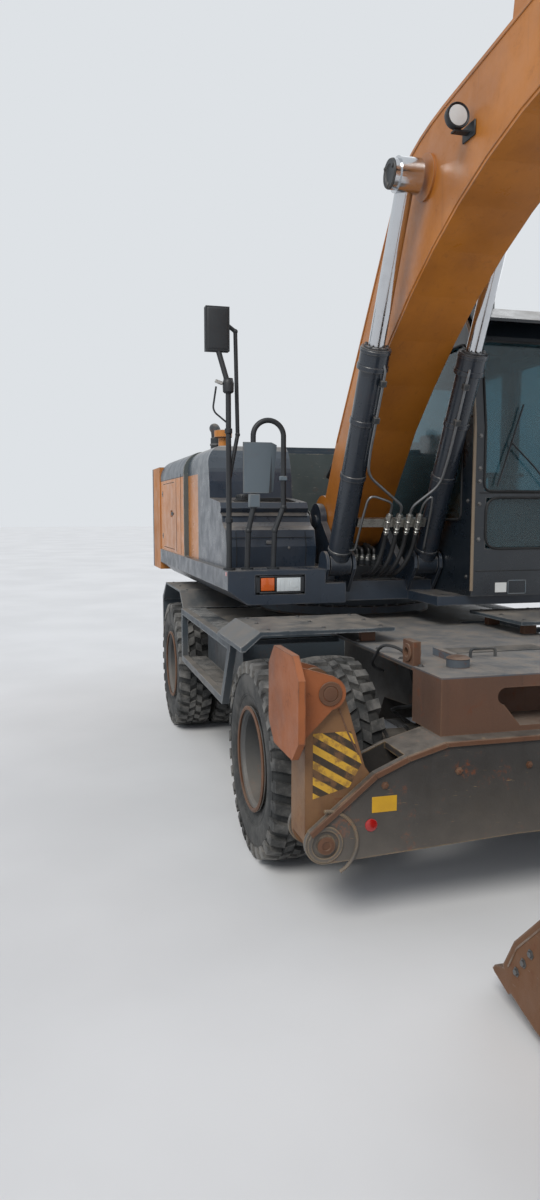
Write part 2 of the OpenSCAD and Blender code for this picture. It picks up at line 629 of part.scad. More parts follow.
// stack beside the lid, with its bent outlet and a heat shield
stack = [-1300, 420 - upper_half];
module exhaust() color("#4b4742") machine() translate([stack.x, stack.y, hood_z]) {
  cylinder(h = 24, r = 78);
  cylinder(h = 170, r = 52);
  translate([-95, 0, 170]) rotate([90, 0, 0]) rotate_extrude(angle = 90) translate([95, 0]) circle(r = 45);
  translate([300, 0, 0]) cylinder(h = 18, r = 70);
  translate([300, 0, 0]) cylinder(h = 150, r = 40);
  translate([300, 0, 150]) cylinder(h = 60, r = 75);
}
module engine_block() color("#55585a") machine()
  box([-1750, -460, deck_top_z], [-1050, 420, 2050]);

house_front = -650;
shell_t = 35;
lid_x0 = -1850;
lid_x1 = -800;
lid_y = upper_half - 560;
seat_w = 30;
seat_gap = 0.3;
side_door_t = 22;
door_z0 = deck_top_z + 30;
door_z1 = hood_z - 230;
door_x0 = -1880;
door_x1 = -1180;
module engine_housing() color("#a06a37") machine() difference() {
  front_cut(-house_rear - 100, house_rear + 100 + house_front) house_outline();
  front_cut(-house_rear - 100 + shell_t, house_rear + 100 + house_front - 2 * shell_t) offset_house();
  // opening under the lid
  box([lid_x0, -lid_y, hood_z - 100], [lid_x1, lid_y, hood_z + 1]);
  both_sides() {
    box([door_x0, upper_half - 10 - side_door_t - seat_gap, door_z0], [door_x1, upper_half, door_z1]);
    box([door_x0 + seat_w, upper_half - 100, door_z0 + seat_w], [door_x1 - seat_w, upper_half, door_z1 - seat_w]);
  }
}
module house_outline() {
  r = 170;
  difference() {
    translate([-upper_half + 10, deck_top_z]) square([upper_w - 20, hood_z - deck_top_z]);
    for (s = [-1, 1]) translate([s * (upper_half - 10), hood_z]) square(2 * r, center = true);
  }
  for (s = [-1, 1]) translate([s * (upper_half - 10 - r), hood_z - r]) circle(r = r);
}
module offset_house() {
  r = 170 - shell_t;
  h = upper_half - 10 - shell_t;
  difference() {
    translate([-h, deck_top_z - 1]) square([2 * h, hood_z - shell_t - deck_top_z + 1]);
    for (s = [-1, 1]) translate([s * h, hood_z - shell_t]) square(2 * r, center = true);
  }
  for (s = [-1, 1]) translate([s * (h - r), hood_z - shell_t - r]) circle(r = r);
}
module engine_lid() color("#8f623a") machine() difference() {
  union() {
    box([lid_x0 - seat_w, -lid_y - seat_w, hood_z + seat_gap], [lid_x1 + seat_w, lid_y + seat_w, hood_z + 32]);
    box([lid_x0 + 120, -430, hood_z + 31], [lid_x1 - 120, 430, hood_z + 72]);
  }
  for (x = [lid_x0 + 170:60:lid_x1 - 180]) box([x, -380, hood_z + 45], [x + 28, 380, hood_z + 73]);
}
module side_door() box([door_x0 + gap, upper_half - 10 - side_door_t, door_z0 + gap], [door_x1 - gap, upper_half - 10, door_z1 - gap]);
// cooling slots on the left, a recessed handle on the right
module side_door_left() color("#a06a37") machine() difference() {
  side_door();
  for (z = [door_z0 + 90:46:door_z1 - 90]) box([door_x0 + 80, upper_half - 40, z], [door_x1 - 80, upper_half, z + 22]);
}
module side_door_right() color("#a06a37") machine() mirror([0, 1, 0]) difference() {
  side_door();
  box([door_x1 - 230, upper_half - 22, door_z0 + 290], [door_x1 - 80, upper_half, door_z0 + 350]);
}

// tank beside the boom: stepped front and rounded outer edge
tank_inset = 50;
tank_room = 390;
tank_y = [tank_inset - upper_half, boom_y - tank_room + upper_half - tank_inset];
module tank() color("#1f2a35") machine() intersection() {
  side_cut(tank_y[0], tank_y[1]) polygon(concat(
    [[house_front, deck_top_z], [820, deck_top_z], [836, deck_top_z + 140], [805, tank_z - 190], [740, tank_z - 165],
      [705, tank_z - 140], [690, tank_z - 95], [640, tank_z - 75], [660, tank_z - 45], [630, tank_z - 5], [590, tank_z],
      [270, tank_z + 30]],
    curve([270, tank_z + 30], [245, hood_z], [40, hood_z], 6),
    [[house_front, hood_z]]));
  front_cut(house_front - 1, 1600) {
    r = 150;
    translate([tank_y[0] + r, deck_top_z]) square([tank_y[1] - r, hood_z - deck_top_z]);
    translate([tank_y[0], deck_top_z]) square([tank_y[1], hood_z - deck_top_z - r]);
    translate([tank_y[0] + r, hood_z - r]) circle(r = r);
  }
}

module handrails() color("#2f3437") machine() {
  r = 17;
  x = deck_front - 90;
  z = deck_top_z;
  // hoop beside the tank, its legs bent outwards at the foot
  hoop_y = [190 - upper_half, 390 - upper_half];
  hoop_top = z + 850;
  for (y = hoop_y) {
    foot_y = y - (y == hoop_y[0] ? 43 : 69);
    translate([x, foot_y, z]) cylinder(h = 14, r = 40);
    bars([[x, foot_y, z + 1], [x, foot_y + 10, z + 250], [x, y, z + 400], [x, y, hoop_top]], r);
  }
  translate([x, (hoop_y[0] + hoop_y[1]) / 2, hoop_top])
    rotate([90, 0, 90]) rotate_extrude(angle = 180) translate([(hoop_y[1] - hoop_y[0]) / 2, 0]) circle(r = r);
  box([x + 8, hoop_y[0] - 70, z + 490], [x + 20, hoop_y[0] + 115, z + 810]);
}
module mirror_post() color("#2f3437") machine() {
  x = deck_front - 90;
  z = deck_top_z;
  y = 30 - upper_half;
  translate([x, y, z]) cylinder(h = 14, r = 40);
  // post with the clamp that carries the mirror's arm
  translate([x, y, z]) cylinder(h = 1150, r = 17);
  translate([x, y, z + 1120]) cylinder(h = 80, r = 30);
  bar([x, y, z + 1160], [x - 45, y - 60, z + 1400], 17);
  bars([[x, y, z + 560], [x - 50, y + 70, z + 860], [x - 60, y + 60, z + 1500], [x - 50, y - 30, z + 1560]], 13);
  box([x - 80, y - 135, z + 1370], [x - 20, y + 15, z + 1640]);
}

module hydraulic_lines() color("#1d2024") machine() {
  // valve block in front of the boom's foot, with its ports
  z = platform_z + 130;
  box([520, boom_y - 150, z], [860, boom_y + 150, z + 90]);
  for (x = [600, 700, 800], y = [-90, 0, 90]) translate([x, boom_y + y, z + 90]) cylinder(h = 35, r = 24);
}

// Cab

cab_y0 = upper_half - cab_w;
cab_rear = cab_front - cab_l;
module cab_outline(inset) {
  i = inset;
  polygon([
    [cab_rear + i, cab_z + i], [cab_front - i, cab_z + i], [cab_front - i, cab_z + 1050],
    [cab_front - 80 - i, cab_top - 160 - i], [cab_front - 180 - i, cab_top - i],
    [cab_rear + 120 + i, cab_top - i], [cab_rear + i, cab_top - 120 - i]]);
}
door_x = [cab_rear + 720, cab_front - 90];
door_z = [cab_z + 40, cab_top - 110];
leaf_t = 40;
glass_in = 24;
glass_t = 8;
module cab_shell() color("#15191d") machine() difference() {
  side_cut(cab_y0, cab_w) cab_outline(0);
  side_cut(cab_y0 + cab_wall, cab_w - 2 * cab_wall) cab_outline(cab_wall);
  windows();
  // doorway
  box([door_x[0], upper_half - leaf_t - seat_gap, door_z[0]], [door_x[1], upper_half + 1, door_z[1]]);
  box([door_x[0] + seat_w, upper_half - cab_wall - 1, door_z[0] + seat_w], [door_x[1] - seat_w, upper_half, door_z[1] - seat_w]);
}
module windows() {
  // windscreen, and the lower front window
  box([cab_front - 220, cab_y0 + 75, cab_z + 660], [cab_front + 1, upper_half - 75, cab_top - 190]);
  box([cab_front - 70, cab_y0 + 90, cab_z + 300], [cab_front + 1, upper_half - 90, cab_z + 620]);
  // right side
  box([cab_rear + 120, cab_y0 - 1, cab_z + 480], [cab_front - 150, cab_y0 + cab_wall + 1, cab_top - 200]);
  // left side behind the door
  box([cab_rear + 120, upper_half - cab_wall - 1, cab_z + 700], [door_x[0] - 70, upper_half + 1, cab_top - 200]);
  // rear
  box([cab_rear - 1, cab_y0 + 90, cab_z + 800], [cab_rear + cab_wall + 1, upper_half - 90, cab_top - 240]);
}
module cab_glass() color("#29434f", 0.5) machine() {
  intersection() {
    difference() {
      side_cut(cab_y0 + glass_in, cab_w - 2 * glass_in) cab_outline(glass_in);
      side_cut(cab_y0 + glass_in + glass_t, cab_w - 2 * (glass_in + glass_t)) cab_outline(glass_in + glass_t);
    }
    windows();
  }
}
module door_leaf() box([door_x[0] + gap, upper_half - leaf_t, door_z[0] + gap], [door_x[1] - gap, upper_half, door_z[1] - gap]);
door_pane = [[door_x[0] + 90, door_z[0] + 620], [door_x[1] - 90, door_z[1] - 90]];
module cab_door() color("#15191d") machine() difference() {
  union() {
    door_leaf();
    // handle
    for (z = [0, 150]) box([door_x[1] - 75, upper_half - 1, door_z[0] + 420 + z], [door_x[1] - 50, upper_half + 35, door_z[0] + 440 + z]);
    box([door_x[1] - 75, upper_half + 34, door_z[0] + 420], [door_x[1] - 50, upper_half + 48, door_z[0] + 590]);
  }
  box([door_pane[0].x, upper_half - 50, door_pane[0].y], [door_pane[1].x, upper_half + 1, door_pane[1].y]);
}
module door_glass() color("#29434f", 0.5) machine()
  box([door_pane[0].x, upper_half - 30, door_pane[0].y], [door_pane[1].x, upper_half - 22, door_pane[1].y]);
module cab_trim() color("#3b4a55") machine() {
  // roof visor and roof lamps
  side_cut(cab_y0 + 20, cab_w - 40) polygon([
    [cab_front - 300, cab_top], [cab_front - 180, cab_top], [cab_front - 110, cab_top - 62], [cab_front + 90, cab_top - 105],
    [cab_front + 96, cab_top - 88], [cab_front - 170, cab_top + 32], [cab_front - 300, cab_top + 32]]);
  for (y = [cab_y0 + 90, upper_half - 230]) box([cab_front - 290, y, cab_top + 32], [cab_front - 210, y + 140, cab_top + 130]);
  // hatch on the roof
  box([cab_rear + 350, cab_y0 + 150, cab_top], [cab_rear + 1000, upper_half - 150, cab_top + 28]);
  // grab rail beside the door
  for (z = [cab_z + 520, cab_z + 1280]) box([cab_front - 62, upper_half, z], [cab_front - 38, upper_half + 62, z + 24]);
  translate([cab_front - 50, upper_half + 50, cab_z + 500]) cylinder(h = 824, r = 14);
}
seat_x = cab_rear + 620;
seat_y = upper_half - cab_w / 2;
floor_z = cab_z + cab_wall;
module seat() color("#22252a") machine() {
  box([seat_x - 240, seat_y - 240, floor_z + 380], [seat_x + 250, seat_y + 240, floor_z + 500]);
  box([seat_x - 360, seat_y - 240, floor_z + 400], [seat_x - 240, seat_y + 240, floor_z + 1080]);
}
module cab_controls() color("#2b2e31") machine() {
  // side consoles with their levers, and the monitor
  for (y = [-1, 1]) {
    box([seat_x - 260, seat_y + y * 320 - 60, floor_z + 300], [seat_x + 300, seat_y + y * 320 + 60, floor_z + 560]);
    translate([seat_x + 220, seat_y + y * 320, floor_z + 560]) cylinder(h = 110, r = 14);
    translate([seat_x + 220, seat_y + y * 320, floor_z + 650]) cylinder(h = 120, r = 27);
    box([seat_x - 200, seat_y + y * 320 - 25, floor_z], [seat_x + 100, seat_y + y * 320 + 25, floor_z + 301]);
  }
  box([seat_x + 560, seat_y - 330, floor_z + 600], [seat_x + 600, seat_y - 130, floor_z + 760]);
  box([seat_x + 570, seat_y - 245, floor_z], [seat_x + 590, seat_y - 215, floor_z + 601]);
  for (y = [-90, 90]) box([seat_x + 480, seat_y + y - 45, floor_z], [seat_x + 560, seat_y + y + 45, floor_z + 60]);
  box([seat_x - 200, seat_y - 200, floor_z], [seat_x + 200, seat_y + 200, floor_z + 380]);
  translate([seat_x + 620, seat_y, floor_z]) cylinder(h = 720, r = 45);
  translate([seat_x + 620, seat_y, floor_z + 720]) {
    rotate_extrude() translate([180, 0]) circle(r = 14);
    for (a = [0, 120, 240]) rotate(a) translate([-10, 0, -6]) cube([20, 180, 12]);
    cylinder(h = 20, r = 50);
  }
}

// Working equipment

// Boom outline on its own line from the foot pin to the tip pin
boom_top = concat(
  [[140, 130], [504, 395], [1900, 1200]],
  curve([1900, 1200], [2074, 1300], [2500, 1170], 6),
  [[boom_l + 55, 166]]);
boom_low = concat(
  [[boom_l - 50, -168]],
  [[3300, 490]],
  curve([3300, 490], [2237, 795], [900, 255], 8),
  [[443, 13], [90, -165]]);
fork_r = 620;
module boom() color("#c47a1c") machine() {
  translate([0, boom_y, 0]) difference() {
    union() {
      side_cut(-boom_w / 2, boom_w) along(foot, boom_angle) {
        polygon(concat(boom_top, boom_low));
        circle(r = 188);
        translate([boom_l, 0]) circle(r = 175);
      }
      // bosses of the cylinder rods
      rod_y(boom_eye, -boom_w / 2 - 12, boom_w + 24, 115);
      // ears of the arm cylinder
      both_sides() side_cut(ear_in, ear_t) along(foot, boom_angle) {
        translate(arm_cyl_foot_at) circle(r = 80);
        polygon([arm_cyl_foot_at + [-78, 20], arm_cyl_foot_at + [-300, -330], arm_cyl_foot_at + [280, -420], arm_cyl_foot_at + [75, 30]]);
      }
    }
    rod_y(foot, -boom_w, 2 * boom_w, main_pin_r + pin_fit);
    // fork for the arm
    side_cut(-arm_w / 2 - gap, arm_w + 2 * gap) along(tip, boom_angle) {
      circle(r = fork_r);
      translate([0, -fork_r]) square([fork_r, 2 * fork_r]);
    }
  }
  rod_y(tip, boom_y - boom_w / 2 - 10, boom_w + 20, main_pin_r);
  rod_y(arm_cyl_foot, boom_y - ear_in - ear_t, 2 * (ear_in + ear_t), 35);
}
// Boom pipes: distance from the boom's middle plane
pipe_y = [-125, -60, 60, 125];
pipe_r = 14;
pipe_h = 40;
module boom_lines() color("#1d2024") machine() {
  boom_pipes();
  work_lamp();
}
module boom_pipes() translate([0, boom_y, 0]) {
  line = [for (i = [2:8]) foot + turn(boom_top[i] + pipe_h * [-0.5, 0.85], boom_angle)];
  loop = [for (q = concat([[60, 330], [200, 350]], curve([200, 350], [520, 420], [760, 640], 5), [[1250, 880]])) foot + turn(q, boom_angle)];
  both_sides() side_cut(105, 44) polygon(strip(loop, 22));
  first = foot + turn([1150, top_at(1150) + pipe_h], boom_angle);
  last = foot + turn([boom_l - 700, top_at(boom_l - 700) + pipe_h], boom_angle);
  for (y = pipe_y) side_cut(y - pipe_r, 2 * pipe_r) polygon(strip(concat([first], line, [last]), pipe_r));
  // clamp blocks on the boom's top edge: place along the boom line
  for (a = [1500, 2650, 4200]) {
    top = top_at(a);
    side_cut(-150, 300) along(foot + turn([a, top], boom_angle), boom_angle + slope_at(a))
      translate([-20, 0.02]) square([40, pipe_h + 5]);
  }
}
// work lamp on the boom's right side
lamp_at = [2690, 880];
module work_lamp() {
  p = boom_pt(lamp_at.x, lamp_at.y);
  y = boom_y - boom_w / 2;
  box([p.x - 60, y - 12, p.y - 90], [p.x + 60, y, p.y - 20]);
  box([p.x - 20, y - 90, p.y - 60], [p.x + 20, y - 11, p.y - 45]);
  translate([p.x - 25, y - 75, p.y]) rotate([0, 90, 0]) cylinder(h = 55, r = 58);
}
// height and slope of the boom's straight top edges
function edge_of(a) = a < 1900 ? [boom_top[1], boom_top[2]] : [boom_top[8], boom_top[9]];
function slope_at(a) = angle_of(edge_of(a)[1] - edge_of(a)[0]);
function top_at(a) = edge_of(a)[0].y + (a - edge_of(a)[0].x) * tan(slope_at(a));

// a cylinder along the line from p to q in the plane y
module cyl_axis(p, q, y) translate([p.x, y, p.y]) rotate([0, 90 - angle_of(q - p), 0]) children();
module barrel(l, r, rod, eye_r, pin, w) difference() {
  union() {
    translate([0, 0, eye_r * 0.6]) cylinder(h = l - eye_r * 0.6, r = r);
    translate([0, 0, l - 130]) cylinder(h = 130, r = r + 12);
    translate([0, w / 2, 0]) rotate([90, 0, 0]) cylinder(h = w, r = eye_r);
  }
  translate([0, w / 2 + 1, 0]) rotate([90, 0, 0]) cylinder(h = w + 2, r = pin + pin_fit);
  translate([0, 0, eye_r + 30]) cylinder(h = l, r = rod + pin_fit);
}
module rod(l, start, r, eye_r, w) {
  translate([0, 0, start]) cylinder(h = l - start, r = r);
  translate([0, w / 2, l]) rotate([90, 0, 0]) cylinder(h = w, r = eye_r);
}
boom_cyl_l = norm(boom_eye - boom_cyl_foot);
boom_barrel_l = 1420;
bar_at = 290;
bar_x = 40;
module boom_barrels() color("#1e2934") machine() for (s = [-1, 1])
  cyl_axis(boom_cyl_foot, boom_eye, boom_y + s * boom_cyl_y) barrel(boom_barrel_l, boom_barrel_r, boom_rod_r, 80, 35, 2 * boom_barrel_r - 8);
// bar between the barrels, with couplings and their hexagons
module barrel_lines() color("#a9abad") machine() cyl_axis(boom_cyl_foot, boom_eye, boom_y) {
  half = boom_cyl_y - sqrt(pow(boom_barrel_r, 2) - pow(bar_x - 20, 2)) - 0.02;
  box([bar_x - 20, -half, bar_at], [bar_x, half, bar_at + 60]);
  for (y = [-40, 30, 100, 170]) {
    box([bar_x - 5, y - 20, bar_at + 5], [bar_x + 22, y + 20, bar_at + 55]);
    translate([bar_x + 24, y, bar_at - 45]) cylinder(h = 150, r = 14);
    translate([bar_x + 24, y, bar_at + 70]) cylinder(h = 30, r = 22, $fn = 6);
  }
}
module boom_rods() color("#c3c7ca") machine() for (s = [-1, 1])
  cyl_axis(boom_cyl_foot, boom_eye, boom_y + s * boom_cyl_y) {
    rod(boom_cyl_l, 800, boom_rod_r, 88, eye_w);
    translate([0, s > 0 ? eye_w / 2 + 30 : -eye_w / 2, boom_cyl_l]) rotate([90, 0, 0]) cylinder(h = 30, r = 75);
  }

module arm() color("#b8741f") machine() translate([0, boom_y, 0]) {
  difference() {
    union() {
      side_cut(-arm_w / 2, arm_w) along(tip, arm_angle) {
        circle(r = 185);
        polygon([
          [-280, -140], [0, -185], [320, -190], [arm_l - 200, -100], [arm_l, -85], [arm_l, 85], [arm_l - 200, 85], [arm_l - 520, 120],
          [700, 270], [-100, 330], [arm_lever_at.x, arm_lever_at.y + 100], [arm_lever_at.x - 95, arm_lever_at.y - 20]]);
        translate(arm_lever_at) circle(r = lever_boss_r);
        translate([arm_l, 0]) circle(r = 85);
      }
      both_sides() side_cut(ear_in, ear_t) along(tip, arm_angle) {
        translate(bucket_cyl_foot_at) circle(r = 75);
        polygon([bucket_cyl_foot_at + [-70, 20], bucket_cyl_foot_at + [-160, -160], bucket_cyl_foot_at + [300, -160],
          bucket_cyl_foot_at + [60, 45]]);
      }
    }
    rod_y(tip, -arm_w, 2 * arm_w, main_pin_r + pin_fit);
    // slot of the arm cylinder's eye
    side_cut(-62, 124) translate(arm_lever) circle(r = 360);
  }
  rod_y(bucket_cyl_foot, -ear_in - ear_t, 2 * (ear_in + ear_t), 30);
  rod_y(bucket_pin, -arm_w / 2 - 60, arm_w + 120, 40);
  rod_y(idler_pin, -arm_w / 2 - 50, arm_w + 100, 35);
}
arm_cyl_l = norm(arm_lever - arm_cyl_foot);
bucket_cyl_l = norm(link_pin - bucket_cyl_foot);
module arm_barrel() color("#1e2934") machine() cyl_axis(arm_cyl_foot, arm_lever, boom_y)
  barrel(1800, 72, 48, 75, 35, 110);
module arm_rod() color("#c3c7ca") machine() cyl_axis(arm_cyl_foot, arm_lever, boom_y)
  rod(arm_cyl_l, 1400, 48, 75, 110);
module bucket_barrel() color("#1e2934") machine() cyl_axis(bucket_cyl_foot, link_pin, boom_y)
  barrel(1400, 62, 40, 70, 30, 110);
module bucket_rod() color("#c3c7ca") machine() cyl_axis(bucket_cyl_foot, link_pin, boom_y)
  rod(bucket_cyl_l, 800, 40, 68, 110);
module link_bar(p, q, r, y, w) side_cut(y, w) {
  v = q - p;
  translate(p) circle(r = r);
  translate(q) circle(r = r);
  along(p, angle_of(v)) translate([0, -r * 0.75]) square([norm(v), 1.5 * r]);
}
link_y = arm_w / 2 + gap;
module idler_links() color("#8c5a24") machine() translate([0, boom_y, 0]) both_sides() {
  difference() {
    link_bar(idler_pin, link_pin, 62, link_y, 34);
    rod_y(idler_pin, 0, arm_w, 35 + pin_fit);
  }
  rod_y(link_pin, 112, link_y - 111, 35);
}
module bucket_link() color("#8c5a24") machine() translate([0, boom_y, 0]) difference() {
  union() {
    both_sides() link_bar(ear_pin, link_pin, 54, 64, 42);
    side_cut(-64, 128) along(ear_pin, angle_of(link_pin - ear_pin)) translate([90, -30]) square([230, 60]);
    rod_y(ear_pin, -120, 240, 50);
  }
  rod_y(ear_pin, -121, 242, 35 + pin_fit);
}

// Bucket outline on the line from its pin to the teeth
bucket_shell = concat(
  [[95, 190]],
  curve([95, 190], [90, 640], [480, 850], 6),
  curve([480, 850], [1080, 840], [1330, 110], 8));
bucket_inner = concat(
  [[125, 190]],
  curve([125, 190], [120, 622], [490, 822], 6),
  curve([490, 822], [1052, 812], [1300, 110], 8));
module bucket() color("#6a4a2e") machine() translate([0, boom_y, 0]) {
  half = bucket_w / 2;
  plate = 26;
  difference() {
    union() {
      // wrapper
      side_cut(-half, bucket_w) along(bucket_pin, bucket_angle) difference() {
        polygon(concat(bucket_shell, [[1280, 70], [110, 170]]));
        polygon(concat(bucket_inner, [[1240, 0], [125, 0]]));
      }
      // side plates
      both_sides() side_cut(half - plate, plate) along(bucket_pin, bucket_angle)
        polygon(concat(bucket_shell, [[1290, 40], [1150, 20], [500, 100], [150, 150]]));
      // ears
      both_sides() side_cut(link_y, 40) along(bucket_pin, bucket_angle) {
        circle(r = 90);
        translate([0, ear_l]) circle(r = 80);
        polygon([[-90, 0], [-80, ear_l], [-10, ear_l + 80], [300, 760], [200, 585], [150, 455], [112, 200], [88, 20]]);
      }
      // lip and teeth
      side_cut(-half, bucket_w) along(bucket_pin, bucket_angle)
        polygon([[1340, 130], [1375, 30], [1375, 15], [1350, 15], [1230, 95], [1290, 140]]);
      for (i = [0:teeth - 1]) side_cut(-half + 50 + i * (bucket_w - 100 - 90) / (teeth - 1), 90)
        along(bucket_pin, bucket_angle) polygon([[1300, 95], [1345, 110], [1422, 14], [1432, -8], [1408, -3], [1330, 30]]);
    }
    rod_y(bucket_pin, -half, bucket_w, 40 + pin_fit);
  }
  rod_y(ear_pin, -link_y - 30, 2 * link_y + 60, 35);
}

chassis_frame();
lashing_eyes();
stabiliser_beam();
front_axle();
rear_axle();
fenders();
side_steps();
knuckle_left();
knuckle_right();
steering_rod();
tyres_front_left();
tyres_front_right();
tyres_rear_left();
tyres_rear_right();
rim_front_left();
rim_front_right();
rim_rear_left();
rim_rear_right();
leg_left();
leg_right();
pad_left();
pad_right();
leg_barrel_left();
leg_barrel_right();
leg_rod_left();
leg_rod_right();
platform();
counterweight();
engine_block();
engine_housing();
tank();
handrails();
mirror_post();
hydraulic_lines();
cab_shell();
cab_glass();
seat();
cab_controls();
cab_door();
door_glass();
engine_lid();
side_door_right();
side_door_left();
exhaust();
lamps();
cab_trim();
barrel_lines();
boom();
boom_lines();
boom_barrels();
boom_rods();
arm();
arm_barrel();
arm_rod();
bucket_barrel();
bucket_rod();
idler_links();
bucket_link();
bucket();
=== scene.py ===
import math
import bmesh
import bpy
from mathutils import Matrix, Vector


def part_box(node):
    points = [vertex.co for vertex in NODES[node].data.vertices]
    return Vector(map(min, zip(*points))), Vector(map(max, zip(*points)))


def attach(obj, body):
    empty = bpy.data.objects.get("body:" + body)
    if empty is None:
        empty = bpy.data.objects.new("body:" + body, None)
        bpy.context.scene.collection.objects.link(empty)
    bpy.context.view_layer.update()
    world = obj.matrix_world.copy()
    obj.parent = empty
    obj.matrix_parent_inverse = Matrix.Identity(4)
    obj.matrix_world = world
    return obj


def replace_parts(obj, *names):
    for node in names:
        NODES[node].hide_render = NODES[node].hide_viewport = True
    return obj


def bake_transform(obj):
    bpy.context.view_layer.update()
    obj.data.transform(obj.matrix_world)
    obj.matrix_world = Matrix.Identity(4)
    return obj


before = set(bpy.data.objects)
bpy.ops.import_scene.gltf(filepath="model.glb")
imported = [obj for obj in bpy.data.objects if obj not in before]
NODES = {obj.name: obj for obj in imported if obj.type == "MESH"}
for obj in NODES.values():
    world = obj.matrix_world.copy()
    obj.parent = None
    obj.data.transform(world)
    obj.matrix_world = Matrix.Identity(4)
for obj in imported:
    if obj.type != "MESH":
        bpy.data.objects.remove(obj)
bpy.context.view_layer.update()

# Places, in metres: x forward from the slew axis, y left, z up. MID is the slew axis in the CAD's frame.
FRONT_X, REAR_X, AXLE_Z = 2.02, -0.83, 0.528
rim_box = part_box("rim_front_left")
MID = FRONT_X - (rim_box[0][0] + rim_box[1][0]) / 2
OUTER_Y, INNER_Y, TYRE_W = 1.1325, 0.8125, 0.275
X, Y, Z = (1, 0, 0), (0, 1, 0), (0, 0, 1)

# The working equipment lies in the plane BOOM_Y: (x, z) of its pins, and angles in degrees.
BOOM_Y, FOOT = -0.12, (0.4, 1.76)
BOOM_A, BOOM_L = 23.7, 5.516
ARM_A, ARM_L = -111.5, 2.95
BUCKET_A = -127


def turn(p, a):
    c, s = math.cos(math.radians(a)), math.sin(math.radians(a))
    return (p[0] * c - p[1] * s, p[0] * s + p[1] * c)


def off(base, p, a):
    """The place p from base, in a frame turned by a."""
    q = turn(p, a)
    return (base[0] + q[0], base[1] + q[1])


def bp(a, b):
    """A place along and above the boom's line."""
    return off(FOOT, (a, b), BOOM_A)


TIP = bp(BOOM_L, 0)


def ap(s, t):
    """A place along and above the arm's line."""
    return off(TIP, (s, t), ARM_A)


BUCKET_PIN = ap(ARM_L, 0)


def kp(s, t):
    """A place in the bucket, from its pin."""
    return off(BUCKET_PIN, (s, t), BUCKET_A)


def at(p, y):
    """A point of the equipment, y aside of its middle."""
    return (p[0], BOOM_Y + y, p[1])


def path(place, y, *points):
    return [at(place(*q), y) for q in points]


def spin(r, a, h=0.0):
    """The point at radius r, angle a in radians and height h."""
    return Vector((r * math.cos(a), r * math.sin(a), h))


def disc(r, degrees, y=0.0):
    """The point at radius r and that angle in the plane across y."""
    x, z, _ = spin(r, math.radians(degrees))
    return Vector((x, y, z))


def onto(base, axis):
    """The placement that puts z on axis, from base."""
    q = Vector(axis).normalized().to_track_quat("Z", "Y")
    return Matrix.Translation(Vector(base)) @ q.to_matrix().to_4x4()


def rounded(pts, r, n=6):
    """Points with their corners rounded by radius r."""
    if r <= 0:
        return pts
    out = [pts[0]]
    for a, b, c in zip(pts, pts[1:], pts[2:]):
        u, v = a - b, c - b
        d = min(r, 0.49 * u.length, 0.49 * v.length)
        out += curve(b + u.normalized() * d, b, b + v.normalized() * d, n, 0)
    return out + [pts[-1]]


def curve(p, c, q, n, first=1):
    """n + 1 points from p to q, drawn towards c; without p if first is 1."""
    return [Vector([(1 - t) ** 2 * p[k] + 2 * t * (1 - t) * c[k] + t * t * q[k] for k in range(len(p))])
            for t in (i / n for i in range(first, n + 1))]


def skin(bm, rings, closed=False):
    """Faces between rings of vertices, closed or capped; a ring of one vertex is a tip."""
    n = max(map(len, rings))
    for a, b in zip(rings, rings[1:] + (rings[:1] if closed else [])):
        for i in range(n):
            j = (i + 1) % n
            corners = dict.fromkeys((a[i % len(a)], a[j % len(a)], b[j % len(b)], b[i % len(b)]))
            if len(corners) > 2:
                bm.faces.new(list(corners))
    for end in () if closed else (rings[0][::-1], rings[-1]):
        if len(end) > 1:
            bm.faces.new(end)


def put(name, data):
    ob = bpy.data.objects.new(name, data)
    bpy.context.scene.collection.objects.link(ob)
    return ob


def mesh_object(name, bm, material):
    me = bpy.data.meshes.new(name)
    bm.to_mesh(me)
    bm.free()
    dress(me, material)
    return put(name, me)


def dress(me, material):
    for f in me.polygons:
        f.use_smooth = True
    me.materials.clear()
    me.materials.append(material)


# The slot for each material, where a piece names no other.
SLOT = {}
for slot_name, mats in {
        "dark_steel": "bolt dark mud beam", "black_plastic": "plastic seal glossy white", "chrome": "silver pipe",
        "hose_black": "hose", "machine_orange": "boom panel", "slate_paint": "grey slate", "glass": "mirror",
        "lamp_amber": "lens amber red", "cylinder_grey": "barrel", "cab_black": "tan cab", "step_grey": "step",
        "chassis_paint": "brown", "leg_orange": "yellow hazard", "bucket_steel": "bucket",
        "tyre": "tyre tread"}.items():
    SLOT.update(dict.fromkeys(mats.split(), slot_name))


